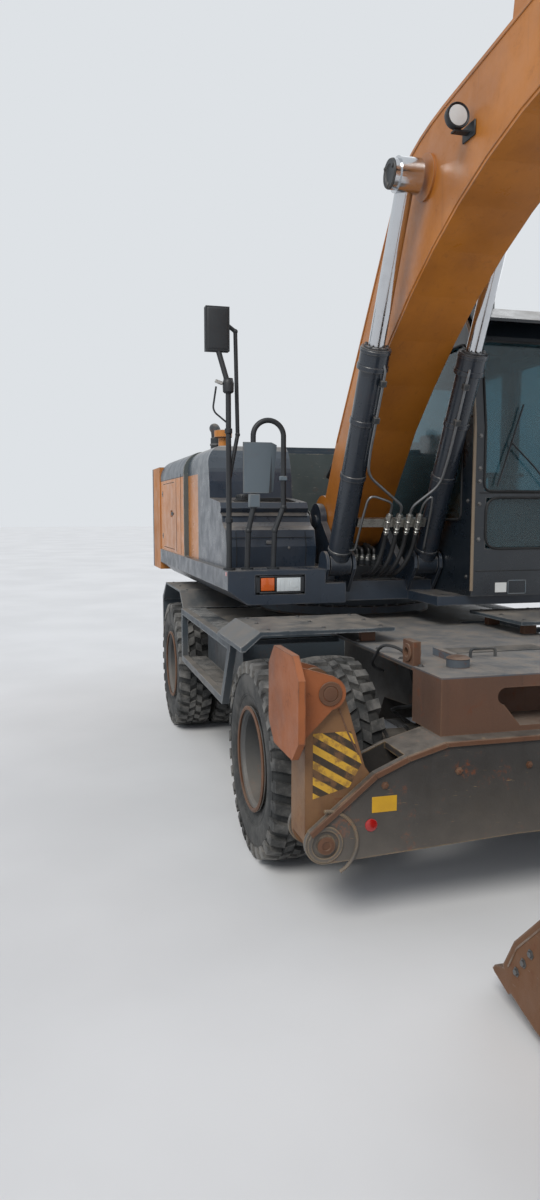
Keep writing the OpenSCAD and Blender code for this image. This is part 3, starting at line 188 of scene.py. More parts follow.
class Piece:
    """Collects simple forms into one mesh of one material. Its places count from origin."""

    def __init__(self, name, body, mat, slot=None, origin=(0, 0, 0)):
        self.name, self.body, self.mat, self.slot = name, body, mat, slot or SLOT[mat]
        self.shift = (origin[0] - MID, origin[1], origin[2])
        self.bm = bmesh.new()

    def join(self, bm, m=Matrix()):
        bmesh.ops.transform(bm, matrix=m, verts=bm.verts)
        tmp = bpy.data.meshes.new("tmp")
        bm.to_mesh(tmp)
        bm.free()
        self.bm.from_mesh(tmp)
        bpy.data.meshes.remove(tmp)
        return self

    def box(self, lo, hi, bevel=0.004, seg=1, tilt=0.0):
        """A box with bevelled edges; tilt turns it about x, in degrees."""
        lo, hi = Vector(lo), Vector(hi)
        size = hi - lo
        bm = bmesh.new()
        bmesh.ops.create_cube(bm, size=1)
        bmesh.ops.scale(bm, vec=size, verts=bm.verts)
        bmesh.ops.bevel(bm, geom=bm.edges[:], offset=min(bevel, 0.45 * min(size)), segments=seg,
                        affect="EDGES", profile=0.5)
        tilted = Matrix.Rotation(math.radians(tilt), 4, "X")
        return self.join(bm, Matrix.Translation((hi + lo) / 2) @ tilted)

    def boxes(self, bevel, *rows):
        for lo, hi in rows:
            self.box(lo, hi, bevel)
        return self

    def side_box(self, s, lo, hi, bevel=0.002):
        """A box given on the left side, put on side s."""
        y0, y1 = sorted((s * lo[1], s * hi[1]))
        return self.box((lo[0], y0, lo[2]), (hi[0], y1, hi[2]), bevel)

    def revolved(self, profile, base, axis, n):
        """For each angle, the vertices of a profile of (radius, height) pairs along axis."""
        m = onto(base, axis)
        return [[m @ spin(r, 2 * math.pi * i / n, h) for r, h in profile] for i in range(n)]

    def turned(self, profile, base, axis, n=32):
        """A closed body of rotation: profile runs from its foot to its top."""
        columns = self.revolved(profile, base, axis, n)
        skin(self.bm, [[self.bm.verts.new(c[k]) for c in columns[:n if profile[k][0] else 1]]
                       for k in range(len(profile))])
        return self

    def loop(self, profile, base, axis, n=32):
        """A ring of rotation: profile is a closed outline."""
        skin(self.bm, [[self.bm.verts.new(q) for q in c] for c in self.revolved(profile, base, axis, n)], True)
        return self

    def ring(self, base, axis, r0, r1, h, n=40, edge=0.002):
        return self.loop([(r0, 0), (r1 - edge, 0), (r1, edge), (r1, h - edge), (r1 - edge, h), (r0, h)],
                         base, axis, n)

    def cyl(self, p, q, r, n=24):
        p, q = Vector(p), Vector(q)
        h = (q - p).length
        e = min(r, h) * 0.12
        return self.turned([(r - e, 0), (r, e), (r, h - e), (r - e, h)], p, q - p, n)

    def bolt(self, p, axis, r, h):
        """A hexagon head on its washer."""
        washer, head = r * 1.5, h * 0.25
        return self.turned([(washer, 0), (washer, head), (r * 0.98, head), (r, h * 0.85), (r * 0.8, h)],
                           p, axis, 6)

    def bolt_ring(self, base, axis, r, n, size=0.008, h=0.007):
        axis = Vector(axis).normalized()
        side = axis.orthogonal().normalized() * r
        for i in range(n):
            self.bolt(Vector(base) + Matrix.Rotation(2 * math.pi * i / n, 3, axis) @ side, axis, size, h)
        return self

    def tube(self, pts, r, n=10, bend=0.0):
        """A round bar through points, its corners rounded by bend."""
        pts = rounded([Vector(p) for p in pts], bend)
        rings, ref = [], None
        for i, p in enumerate(pts):
            t = (pts[min(i + 1, len(pts) - 1)] - pts[max(i - 1, 0)]).normalized()
            if ref is None:
                ref = t.orthogonal().normalized()
            ref = (ref - t * ref.dot(t)).normalized()
            across = Matrix((ref, t.cross(ref), t)).transposed()
            rings.append([self.bm.verts.new(p + across @ spin(r, 2 * math.pi * k / n)) for k in range(n)])
        skin(self.bm, rings)
        return self

    def prism(self, outline, lo, hi, plane="xz", bevel=0.0):
        """An outline in the plane xz or yz, drawn out across it from lo to hi."""
        bm = bmesh.new()
        skin(bm, [[bm.verts.new((p[0], w, p[1]) if plane == "xz" else (w, p[0], p[1])) for p in outline]
                  for w in (lo, hi)])
        bmesh.ops.recalc_face_normals(bm, faces=bm.faces)
        if bevel:
            bmesh.ops.bevel(bm, geom=bm.edges[:], offset=bevel, segments=1, affect="EDGES")
        return self.join(bm)

    def done(self, angle=38):
        bmesh.ops.recalc_face_normals(self.bm, faces=self.bm.faces)
        bmesh.ops.translate(self.bm, vec=self.shift, verts=self.bm.verts)
        ob = mesh_object(self.name, self.bm, MAT[self.mat])
        ob.data.set_sharp_from_angle(angle=math.radians(angle))
        if self.body:
            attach(ob, self.body)
        return ob


def srgb(code):
    """The linear RGBA of a hex colour."""
    levels = [int(code[i:i + 2], 16) / 255 for i in (0, 2, 4)]
    return tuple(c / 12.92 if c <= 0.04045 else ((c + 0.055) / 1.055) ** 2.4 for c in levels) + (1.0,)


class Nodes:
    """A node tree that is built from its outputs."""

    def __init__(self, owner):
        owner.use_nodes = True
        self.t = owner.node_tree
        self.t.nodes.clear()

    def feed(self, n, ins):
        """Sets each input to a value, or links it to another node's output."""
        for k, v in ins.items():
            if isinstance(v, bpy.types.NodeSocket):
                self.t.links.new(v, n.inputs[k])
            else:
                n.inputs[k].default_value = v

    def node(self, kind, ins=None, **props):
        n = self.t.nodes.new("ShaderNode" + kind)
        for k, v in props.items():
            setattr(n, k, v)
        self.feed(n, ins or {})
        return n

    def math(self, op, a, b=None):
        return self.node("Math", {0: a} if b is None else {0: a, 1: b}, operation=op).outputs[0]

    def times(self, a, b):
        return self.math("MULTIPLY", a, b)


class Graph(Nodes):
    """A procedural material on one principled shader."""

    def __init__(self, name):
        self.m = bpy.data.materials.new(name)
        super().__init__(self.m)
        self.b = self.node("BsdfPrincipled")
        self.node("OutputMaterial", {0: self.b.outputs[0]})
        self.tc = self.node("TexCoord").outputs

    def noise(self, scale, detail=6.0, rough=0.6, stretch=None, distort=0.0):
        src = self.tc["Object"]
        if stretch:
            src = self.node("Mapping", {"Vector": src, "Scale": stretch}).outputs["Vector"]
        return self.node("TexNoise", {"Vector": src, "Scale": scale, "Detail": detail, "Roughness": rough,
                                      "Distortion": distort}).outputs["Fac"]

    def ramp(self, fac, a, b, va=0.0, vb=1.0):
        """va where fac is a, vb where it is b, and smooth between."""
        return self.node("MapRange", {"Value": fac, "From Min": a, "From Max": b, "To Min": va, "To Max": vb},
                         interpolation_type="SMOOTHSTEP").outputs["Result"]

    def mix(self, fac, a, b):
        return self.node("Mix", {0: fac, 6: a, 7: b}, data_type="RGBA").outputs[2]

    def edge(self, radius):
        """1 along sharp edges, 0 on flat faces."""
        dot = self.node("VectorMath", {0: self.node("Bevel", {"Radius": radius}, samples=4).outputs[0],
                                       1: self.node("NewGeometry").outputs["Normal"]}, operation="DOT_PRODUCT")
        return self.ramp(dot.outputs["Value"], 0.995, 0.88)

    def along(self, axis, kind="Object"):
        return self.node("SeparateXYZ", {0: self.tc[kind]}).outputs[axis]

    def between(self, axis, lo, hi, soft=0.003):
        """1 between two places on an axis of the machine's frame."""
        shift = -MID if axis == "X" else 0
        v = self.along(axis)
        return self.times(self.ramp(v, lo + shift - soft, lo + shift + soft),
                          self.ramp(v, hi + shift + soft, hi + shift - soft))

    def finish(self, colour, rough, height, strength, dist, **plain):
        """Colour, roughness and bump on the shader, and plain values on its other inputs."""
        bump = self.node("Bump", {"Height": height, "Strength": strength, "Distance": dist})
        self.feed(self.b, {"Base Color": colour, "Roughness": rough, "Normal": bump.outputs[0]})
        self.feed(self.b, {k.replace("_", " "): v for k, v in plain.items()})
        return self.m


DUST, RUST = srgb("8a8278"), srgb("683a22")


def paint(name, base, alt, rough=0.42, dust=0.5, edge=0.8, rust=0.3, wear="807c76", patch=0.45, scratch=0.25,
          metal=0.0, low_dust=None, coat=0.0, grain=0.06, zones=()):
    """Worn paint: patches, rain marks, zones of other paint, scratches, rust, worn edges and dust."""
    g = Graph(name)
    wear = srgb(wear)
    big, mid, fine = g.noise(1.6, 8, 0.62), g.noise(7.0, 8, 0.65), g.noise(46.0, 6, 0.7)
    patches = g.ramp(big, 0.40, 0.66, 0, patch)
    c = g.mix(patches, srgb(base), srgb(alt))
    rain = g.noise(3.0, 5, 0.6, stretch=(9.0, 9.0, 0.7))
    c = g.mix(g.ramp(rain, 0.55, 0.78, 0, 0.35), c, srgb(alt))
    for axis, lo, hi, tone, tone_alt in zones:
        c = g.mix(g.between(axis, lo, hi), c, g.mix(patches, srgb(tone), srgb(tone_alt)))
    lines = g.noise(5.0, 3, 0.5, stretch=(3.0, 3.0, 42.0), distort=0.6)
    scratches = g.times(g.ramp(lines, 0.68, 0.74), g.ramp(mid, 0.42, 0.6))
    c = g.mix(g.times(scratches, scratch), c, wear)
    spots = g.times(g.ramp(mid, 0.56, 0.66), g.ramp(fine, 0.45, 0.62))
    c = g.mix(g.times(spots, rust), c, RUST)
    c = g.mix(g.times(g.times(g.edge(0.012), g.ramp(mid, 0.36, 0.62)), edge), c, wear)
    on_top = g.times(g.ramp(g.along("Z", "Normal"), 0.6, 0.95), g.ramp(mid, 0.25, 0.7, 0.25, 1.0))
    c = g.mix(g.times(on_top, dust), c, DUST)
    if low_dust:
        z0, z1, amount = low_dust
        low = g.times(g.ramp(g.along("Z"), z1, z0), g.ramp(big, 0.3, 0.7, 0.2, 1.0))
        c = g.mix(g.times(low, amount), c, DUST)
    clear = {"Coat_Weight": coat, "Coat_Roughness": 0.25} if coat else {}
    return g.finish(c, g.ramp(mid, 0.25, 0.75, rough - 0.1, rough + 0.18), fine, grain, 0.004,
                    Metallic=metal, **clear)


def rubber(name, base, dusty, rough=0.85, amount=0.6, grain=0.25):
    g = Graph(name)
    a, b = g.noise(5, 8, 0.65), g.noise(60, 6, 0.7)
    c = g.mix(g.ramp(a, 0.38, 0.68, 0, amount), srgb(base), srgb(dusty))
    c = g.mix(g.ramp(b, 0.5, 0.8, 0, 0.35), c, srgb(dusty))
    return g.finish(c, g.ramp(a, 0.3, 0.7, rough, rough - 0.15), b, grain, 0.003)


def steel(name, base, rough=0.22, metal=1.0, dirt=0.25):
    g = Graph(name)
    a, b = g.noise(9, 7, 0.65), g.noise(38, 5, 0.6, stretch=(1, 1, 6))
    c = g.mix(g.ramp(a, 0.5, 0.72, 0, dirt), srgb(base), srgb("463e36"))
    return g.finish(c, g.ramp(b, 0.3, 0.7, rough - 0.06, rough + 0.12), b, 0.03, 0.002, Metallic=metal)


def plastic(name, base, alt, rough=0.5, coat=0.0):
    g = Graph(name)
    a, b = g.noise(4, 6, 0.6), g.noise(140, 4, 0.6)
    c = g.mix(g.ramp(a, 0.35, 0.7, 0, 0.6), srgb(base), srgb(alt))
    clear = {"Coat_Weight": coat} if coat else {}
    return g.finish(c, g.ramp(a, 0.3, 0.7, rough - 0.06, rough + 0.1), b, 0.1, 0.002, **clear)


def glass(name, tint, haze, rough=0.03):
    g = Graph(name)
    a = g.noise(3.5, 7, 0.65)
    c = g.mix(g.ramp(a, 0.4, 0.75, 0, 0.3), srgb(tint), srgb(haze))
    return g.finish(c, g.ramp(a, 0.35, 0.75, rough, rough + 0.12), a, 0.01, 0.002, Transmission_Weight=0.9, IOR=1.45)


def cloth(name, base, worn):
    """A coarse woven cloth."""
    g = Graph(name)
    a = g.noise(9, 7, 0.65)
    weave = g.math("MAXIMUM", *[g.noise(1.0, 2, 0.5, stretch=k) for k in ((420, 60, 60), (60, 420, 420))])
    c = g.mix(g.ramp(a, 0.4, 0.7, 0, 0.6), srgb(base), srgb(worn))
    c = g.mix(g.ramp(weave, 0.45, 0.75, 0, 0.4), c, srgb(worn))
    return g.finish(c, g.ramp(a, 0.3, 0.7, 0.95, 0.8), weave, 0.35, 0.002)


def stripes(name, a, b, dirt, width, across):
    """Diagonal warning stripes, worn."""
    g = Graph(name)
    dot = g.node("VectorMath", {0: g.tc["Object"], 1: Vector(across).normalized()}, operation="DOT_PRODUCT")
    wave = g.math("FRACT", g.math("DIVIDE", dot.outputs["Value"], width))
    mid = g.noise(14, 8, 0.7)
    c = g.mix(g.ramp(wave, 0.47, 0.53), srgb(a), srgb(b))
    c = g.mix(g.ramp(mid, 0.46, 0.62, 0, 0.75), c, srgb(dirt))
    return g.finish(c, g.ramp(mid, 0.3, 0.7, 0.5, 0.75), mid, 0.12, 0.003)


MAT = {
    "boom": paint("boom_paint", "bc7426", "864e1e", rough=0.36, dust=0.25, edge=0.5, rust=0.25, coat=0.15),
    "panel": paint("panel_paint", "be7a30", "8c5626", rough=0.38, dust=0.3, edge=0.7, scratch=0.6, coat=0.15),
    "housing": paint("housing_paint", "ba742e", "8c5424", rough=0.38, dust=0.3, edge=0.7, scratch=0.75, coat=0.15,
          wear="c4bcae", zones=(("Z", 2.118, 9, "3e4852", "2c343c"), ("X", -0.66, 0, "525a5a", "3c4344"))),
    "lid": paint("lid_paint", "3c4650", "2a323a", rough=0.38, dust=0.5, edge=0.6, coat=0.15),
    "slate": paint("slate_paint", "26313e", "1a222c", rough=0.34, dust=0.55, edge=0.5, rust=0.05, coat=0.2),
    "tank": paint("tank_paint", "283341", "1c242e", rough=0.3, dust=0.7, edge=0.4, rust=0.03, coat=0.25,
          zones=(("X", -9, -0.2, "ba742e", "8c5424"), ("Z", 2.118, 9, "3e4852", "2c343c"))),
    "grey": paint("grey_paint", "5c6870", "465058", rough=0.4, dust=0.5, edge=0.6, rust=0.1, coat=0.1),
    "weight": paint("weight_paint", "464f57", "323a41", rough=0.5, dust=0.5, edge=0.7, rust=0.15, grain=0.2,
          zones=(("X", -2.52, 0, "b2702e", "865226"),)),
    "cab": paint("cab_paint", "181f26", "10151b", rough=0.3, dust=0.35, edge=0.35, rust=0.0, coat=0.3),
    "step": paint("step_paint", "3a434a", "2a3036", rough=0.5, dust=0.8, edge=1.0, rust=0.35, wear="969898",
          low_dust=(0.5, 1.0, 0.4)),
    "chassis": paint("chassis_paint", "604434", "42322a", rough=0.6, dust=0.75, edge=0.8, rust=0.9, wear="785c46",
          low_dust=(0.4, 1.0, 0.5), grain=0.2,
          zones=(("X", -9, 2.585, "3a3836", "2a2a2a"), ("Z", 1.094, 9, "545c64", "3c4248"))),
    "brown": paint("bracket_brown", "60402c", "423026", rough=0.6, dust=0.4, edge=0.8, rust=0.9, wear="78604c",
          grain=0.2),
    # Light tan paint for the tube on the cab's front pillar: a painted highlight of the pillar's rounded corner.
    "tan": paint("pillar_highlight_paint", "80705c", "5c5042", rough=0.35, dust=0.1, edge=0.3, rust=0.1, coat=0.2),
    "dark": paint("dark_paint", "323639", "222528", rough=0.55, dust=0.6, edge=0.7, rust=0.4,
          low_dust=(0.3, 0.9, 0.55), grain=0.15),
    "beam": paint("beam_paint", "3c3a38", "2a2725", rough=0.5, dust=0.5, edge=1.0, rust=1.0, scratch=1.0,
          wear="967c56", low_dust=(0.35, 0.8, 0.4), grain=0.25, patch=0.8),
    "leg": paint("leg_paint", "7c5a3a", "58402e", rough=0.55, dust=0.3, edge=0.9, rust=0.9, scratch=0.6,
          wear="5c4230", grain=0.2, patch=0.7),
    "pad": paint("pad_paint", "96562e", "683e28", rough=0.6, dust=0.3, edge=0.9, rust=1.0, scratch=0.9,
          wear="543c2e", grain=0.25, patch=0.8),
    "bucket": paint("bucket_paint", "704c30", "4e3a2c", rough=0.5, dust=0.5, edge=1.0, rust=1.0, scratch=1.0,
          wear="968e84", grain=0.3, patch=0.8, metal=0.25),
    "barrel": paint("barrel_paint", "242c36", "1a2028", rough=0.26, dust=0.35, edge=0.6, rust=0.1, coat=0.35),
    "engine": paint("engine_paint", "545656", "363738", rough=0.6, dust=0.4, edge=0.4, rust=0.4),
    "rim": paint("rim_paint", "3e4245", "2c2e30", rough=0.6, dust=0.3, edge=0.5, rust=0.5,
          low_dust=(0.1, 1.0, 0.5)),
    "chrome": steel("rod_chrome", "cdcfd2", rough=0.14, dirt=0.12),
    "silver": steel("fitting_steel", "bebeba", rough=0.3),
    "bolt": steel("bolt_steel", "707070", rough=0.42, metal=0.8, dirt=0.5),
    "pipe": steel("pipe_steel", "808284", rough=0.34, metal=0.9, dirt=0.4),
    "mirror": steel("mirror_glass", "b4bec6", rough=0.04, dirt=0.05),
    "tyre": rubber("tyre_rubber", "262829", "605e5a", amount=0.5),
    "tread": rubber("tread_rubber", "323333", "807e7a", amount=0.8),
    "hose": rubber("hose_rubber", "181a1d", "464646", rough=0.55, amount=0.35, grain=0.08),
    "mud": rubber("flap_rubber", "242628", "585856", rough=0.8),
    "seal": rubber("seal_rubber", "0e0f11", "2c2d2e", rough=0.7, amount=0.3, grain=0.05),
    "fabric": cloth("seat_cloth", "1e2024", "3a3c40"),
    "glossy": plastic("screen_glass", "0a0e14", "141a22", rough=0.06, coat=0.8),
    "plastic": plastic("black_plastic", "1a1d21", "2e3236"),
    "console": plastic("cab_console", "34383c", "464a4e", rough=0.6),
    "white": plastic("plate_white", "d6d8d6", "bcbebc", rough=0.4),
    "amber": plastic("lamp_amber", "d66818", "b44610", rough=0.18, coat=0.6),
    "red": plastic("lamp_red", "a81a16", "781010", rough=0.2, coat=0.6),
    "lens": plastic("lamp_lens", "ced4d6", "a8b0b4", rough=0.12, coat=0.6),
    "yellow": plastic("plate_yellow", "cea028", "aa8028", rough=0.45),
    "glass": glass("cab_glass", "7096a0", "96a0a0"),
    "hazard": stripes("hazard_stripes", "c89c34", "3a3026", "745436", 0.06, (0, 0.62, 1)),
}

WHEELS = [(f"{end}_{side}", x, s) for end, x in (("front", FRONT_X), ("rear", REAR_X))
          for side, s in (("left", 1), ("right", -1))]
# The material that each of the CAD's nodes wears.
FINISHES = {
    "chassis": "chassis_frame", "beam": "stabiliser_beam", "step": "fenders side_steps", "brown": "lashing_eyes",
    "dark": "front_axle rear_axle knuckle_left knuckle_right exhaust", "silver": "barrel_lines", "amber": "lamps",
    "cab": "cab_trim cab_shell cab_door", "rim": " ".join(f"rim_{name}" for name, _, _ in WHEELS),
    "chrome": "steering_rod leg_rod_left leg_rod_right boom_rods arm_rod bucket_rod", "leg": "leg_left leg_right",
    "pad": "pad_left pad_right", "slate": "platform", "tank": "tank", "weight": "counterweight",
    "barrel": "leg_barrel_left leg_barrel_right boom_barrels arm_barrel bucket_barrel", "engine": "engine_block",
    "housing": "engine_housing side_door_right side_door_left", "lid": "engine_lid",
    "plastic": "handrails mirror_post hydraulic_lines", "glass": "cab_glass door_glass",
    "console": "cab_controls seat", "boom": "boom arm", "hose": "boom_lines",
    "bucket": "bucket idler_links bucket_link", "tyre": " ".join(f"tyres_{name}" for name, _, _ in WHEELS)}
for mat, names in FINISHES.items():
    for node_name in names.split():
        for place in NODES[node_name].material_slots:
            place.material = MAT[mat]

# Tyres and wheels. A casing's half outline and ribs are (radius, share of its width or half width).
CASING = [(0.262, 0.36), (0.285, 0.388), (0.312, 0.42), (0.345, 0.458), (0.382, 0.496), (0.43, 0.49), (0.475, 0.45),
          (0.498, 0.4), (0.508, 0.2)]
RIBS = ((0.336, 0.885), (0.346, 0.905), (0.452, 0.93))
# The rows of tread blocks: phase, width, length, place aside, foot and top radius, skew.
TREAD = ((0, 0.088, 0.066, 0.092, 0.49, 0.528, 0.12), (1, 0.05, 0.07, 0.026, 0.496, 0.5275, -0.25),
         (0, 0.022, 0.05, 0.126, 0.455, 0.508, 0))
BLOCKS = 30
HUB_FACE = 1.1125


def casing(p, y):
    """A tyre's casing with its sidewall ribs."""
    section = [(r, -w) for r, w in CASING] + [(0.51, 0)] + CASING[::-1]
    p.loop([(r, w * TYRE_W) for r, w in section], (0, y, 0), Y, 72)
    for s in (-1, 1):
        for r, w in RIBS:
            w0, w1 = s * TYRE_W / 2 * w, s * TYRE_W / 2 * (w + 0.03)
            p.loop([(r, w0), (r + 0.006, w0), (r + 0.005, w1), (r + 0.001, w1)], (0, y, 0), Y, 64)


def block(bm, y, a, wide, long, aside, r0, r1, skew):
    """One tread block at angle a of the tyre at y: its foot and its smaller top."""
    rings = []
    for r, f in ((r0, 1), (r1, 0.86)):
        rings.append([])
        for u, v in ((-1, -1), (1, -1), (1, 1), (-1, 1)):
            dy = aside + v * wide / 2 * f
            drop = 0.014 * abs(2 * dy / TYRE_W) ** 4 if r == r1 else 0
            turned_by = math.degrees((u * long / 2 * f + skew * v * wide) / r1)
            rings[-1].append(bm.verts.new(disc(r - drop, a + turned_by, y + dy)))
    skin(bm, rings)


for name, x, s in WHEELS:
    hub = {"body": f"wheel_{name}", "origin": (x, 0, AXLE_Z)}
    p = Piece(f"tyre_casings_{name}", mat="tyre", **hub)
    t = Piece(f"tyre_treads_{name}", mat="tread", **hub)
    for y in (s * INNER_Y, s * OUTER_Y):
        casing(p, y)
        for i in range(2 * BLOCKS):
            for phase, wide, long, aside, r0, r1, skew in TREAD:
                v = 2 * (i % 2) - 1 if not phase else 1 - 2 * (i % 2)
                block(t.bm, y, 180 / BLOCKS * i, wide, long, v * aside, r0, r1, v * skew)
    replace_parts(p.done(60), f"tyres_{name}")
    t.done(30)
    p = Piece(f"wheel_bolts_{name}", mat="bolt", slot="rim_grey", **hub)
    for i in range(10):
        p.bolt(disc(0.122, 36 * i, s * HUB_FACE), (0, s, 0), 0.016, 0.022)
    for i in range(8):
        p.bolt(disc(0.07, 45 * i + 10, s * (HUB_FACE + 0.035)), (0, s, 0), 0.01, 0.012)
    p.done()


# Hydraulic cylinders
def meet(p, r, q, s):
    """Where bars of length r from p and s from q meet, left of the line from p to q."""
    p, q = Vector(p), Vector(q)
    d = (q - p).length
    u = (q - p) / d
    m = (r * r - s * s + d * d) / (2 * d)
    return tuple(p + u * m + Vector((-u.y, u.x)) * math.sqrt(r * r - m * m))


BOOM_CYL_FOOT, BOOM_EYE, BOOM_CYL_Y = (1.04, 1.49), bp(2.23, 0.985), 0.308
ARM_CYL_FOOT, ARM_LEVER = bp(3.15, 1.2), ap(-0.68, 0.24)
BUCKET_CYL_FOOT, IDLER_PIN, EAR_PIN = ap(0.12, 0.43), ap(ARM_L - 0.46, 0.03), kp(0, 0.45)
LINK_PIN = meet(IDLER_PIN, 0.6, EAR_PIN, 0.6)


class Along:
    """Places on a line of the equipment: x off it, down and forward, y aside, z along it."""

    def __init__(self, p, q, y=0.0):
        self.p = Vector(at(p, y))
        self.u = Vector((q[0] - p[0], 0, q[1] - p[1])).normalized()
        self.x = Vector((self.u.z, 0, -self.u.x))
        self.long = math.dist(p, q)

    def at(self, x, y, z):
        return self.p + self.x * x + Vector((0, y, 0)) + self.u * z

    def path(self, *points):
        return [self.at(*q) for q in points]


def cylinder_trim(body, line, length, r, rod_r, bands=(0.45, 0.8), name=None):
    """Gland head, bands and foot weld of a hydraulic cylinder."""
    p = Piece(f"{name or body}_bands", body, "barrel")
    for z, r0, r1, h in ((length - 0.128, r, r + 0.018, 0.03), (length - 0.03, r, r + 0.016, 0.022),
                         (length - 0.001, rod_r + 0.004, r - 0.004, 0.01), (0.1, r - 0.002, r + 0.005, 0.014),
                         *[(length * share, r - 0.002, r + 0.006, 0.032) for share in bands]):
        p.ring(line.at(0, 0, z), line.u, r0, r1, h)
    p.done()
    heads = Piece(f"{name or body}_bolts", body, "bolt")
    heads.bolt_ring(line.at(0, 0, length + 0.008), line.u, (r + rod_r) / 2 + 0.004, 8).done()


BARRELS = "boom_barrels"
COUPLINGS, PORT_X = (-0.04, 0.03, 0.1, 0.17), 0.064
for side, s in (("right", -1), ("left", 1)):
    line = Along(BOOM_CYL_FOOT, BOOM_EYE, s * BOOM_CYL_Y)
    cylinder_trim(BARRELS, line, 1.42, 0.075, 0.048, (0.43, 0.68), f"boom_barrel_{side}")
    p = Piece(f"rod_eye_cap_{side}", "boom_rods", "dark")
    face = line.at(0, s * 0.09, line.long)
    p.turned([(0.07, 0), (0.074, 0.004), (0.07, 0.012), (0.046, 0.012), (0.042, 0.006), (0.012, 0.006)],
             face, (0, s, 0), 40)
    for i in range(3):
        p.bolt(face + disc(0.058, 120 * i + 20, s * 0.01), (0, s, 0), 0.009, 0.008)
    p.done()

middle = Along(BOOM_CYL_FOOT, BOOM_EYE)
p = Piece("coupling_rings", BARRELS, "silver")
for y in COUPLINGS:
    for z in (0.262, 0.285, 0.335, 0.352):
        p.ring(middle.at(PORT_X, y, z), middle.u, 0.0135, 0.0185, 0.01, 20)
    p.cyl(middle.at(PORT_X, y, 0.372), middle.at(PORT_X, y, 0.4), 0.01, 12)
p.done()
p = Piece("barrel_pipes", BARRELS, "pipe")
for s, inner, outer, z in ((-1, 0.03, -0.04, 0.67), (1, 0.1, 0.17, 0.61)):
    p.tube(middle.path((PORT_X, outer, 0.39), (0.078, outer, 0.48), (0.088, s * 0.215, 0.54),
                       (0.09, s * 0.228, 0.42), (0.086, s * 0.24, 0.15), (0.055, s * 0.268, 0.13)), 0.008, 10, 0.07)
    p.tube(middle.path((PORT_X, inner, 0.39), (0.076, inner, 0.455), (0.088, s * 0.25, z), (0.088, s * 0.262, 0.8),
                       (0.088, s * 0.262, 1.31), (0.065, s * 0.275, 1.345)), 0.009, 10, 0.07)
p.done()
p = Piece("pipe_clamps", BARRELS, "dark")
for s in (-1, 1):
    for z in (1.0, 1.22):
        corners = middle.path((0.07, 0, z), (0.104, 0, z), (0.104, 0, z + 0.035), (0.07, 0, z + 0.035))
        y = BOOM_Y + s * 0.262
        p.prism([(c.x, c.z) for c in corners], y - 0.018, y + 0.018, bevel=0.002)
p.done()
p = Piece("coupling_hoses", None, "hose")
low = middle.at(PORT_X, 0, 0.25)
for y, aside in zip(COUPLINGS, (-0.09, -0.03, 0.03, 0.09)):
    p.tube([at((low.x, low.z), y), at((low.x - 0.045, low.z - 0.1), y), at((1.125, 1.475), (y + aside) / 2),
            at((1.055, 1.415), aside), at((0.95, 1.402), aside)], 0.0155, 12, 0.09)
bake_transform(p.done())

line = Along(ARM_CYL_FOOT, ARM_LEVER)
cylinder_trim("arm_barrel", line, 1.8, 0.072, 0.048)
p = Piece("arm_barrel_pipes", "arm_barrel", "pipe")
for s in (-1, 1):
    p.tube(line.path((-0.05, s * 0.03, 0.14), (-0.086, s * 0.035, 0.2), (-0.086, s * 0.035, 1 + 0.34 * s),
                     (-0.086, s * 0.035, 1.66), (-0.06, s * 0.02, 1.7)), 0.01, 10, 0.04)
p.done()
line = Along(BUCKET_CYL_FOOT, LINK_PIN)
cylinder_trim("bucket_barrel", line, 1.4, 0.062, 0.04)
p = Piece("bucket_barrel_pipes", "bucket_barrel", "pipe")
for s in (-1, 1):
    p.tube(line.path((-0.045, s * 0.03, 0.13), (-0.074, s * 0.034, 0.18), (-0.074, s * 0.034, 1.27),
                     (-0.05, s * 0.02, 1.31)), 0.008, 10, 0.04)
p.done()

# Boom
BOOM_TOP = [(0.14, 0.13), (0.504, 0.395), (1.9, 1.2), *curve((1.9, 1.2), (2.074, 1.3), (2.5, 1.17), 6),
            (BOOM_L + 0.055, 0.166)]
BOOM_LOW = [(BOOM_L - 0.05, -0.168), (3.3, 0.49), *curve((3.3, 0.49), (2.237, 0.795), (0.9, 0.255), 8),
            (0.443, 0.013), (0.09, -0.165)]
BOOM_W, PIPE_R, PIPE_H = 0.4, 0.014, 0.04
PIPE_Y = (-0.125, -0.06, 0.06, 0.125)
BEAD = 0.005


def top_at(a):
    """Height of the boom's upper edge at the place a along its line."""
    for p, q in zip(BOOM_TOP, BOOM_TOP[1:]):
        if p[0] <= a <= q[0]:
            return p[1] + (a - p[0]) * (q[1] - p[1]) / (q[0] - p[0])
    return BOOM_TOP[-1][1]


def over_top(a, share=1.0):
    """The place of a pipe over the boom's upper edge."""
    return (a, top_at(a) + share * PIPE_H)


p = Piece("boom_seams", "boom", "boom")
for s in (-1, 1):
    for outline, inset in ((BOOM_TOP[1:], -0.022), (BOOM_LOW[1:-1], 0.022)):
        p.tube(path(bp, s * (BOOM_W / 2 + 0.001), *[(a, b + inset) for a, b in outline]), BEAD, 6)
p.done()
p = Piece("boom_pipes", "boom", "boom")
for y in PIPE_Y:
    p.tube(path(bp, y, over_top(1.15), *[(q[0] - 0.5 * PIPE_H, q[1] + 0.85 * PIPE_H) for q in BOOM_TOP[2:9]],
                over_top(BOOM_L - 0.7)), PIPE_R, 12, 0.05)
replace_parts(p.done(), "boom_lines")

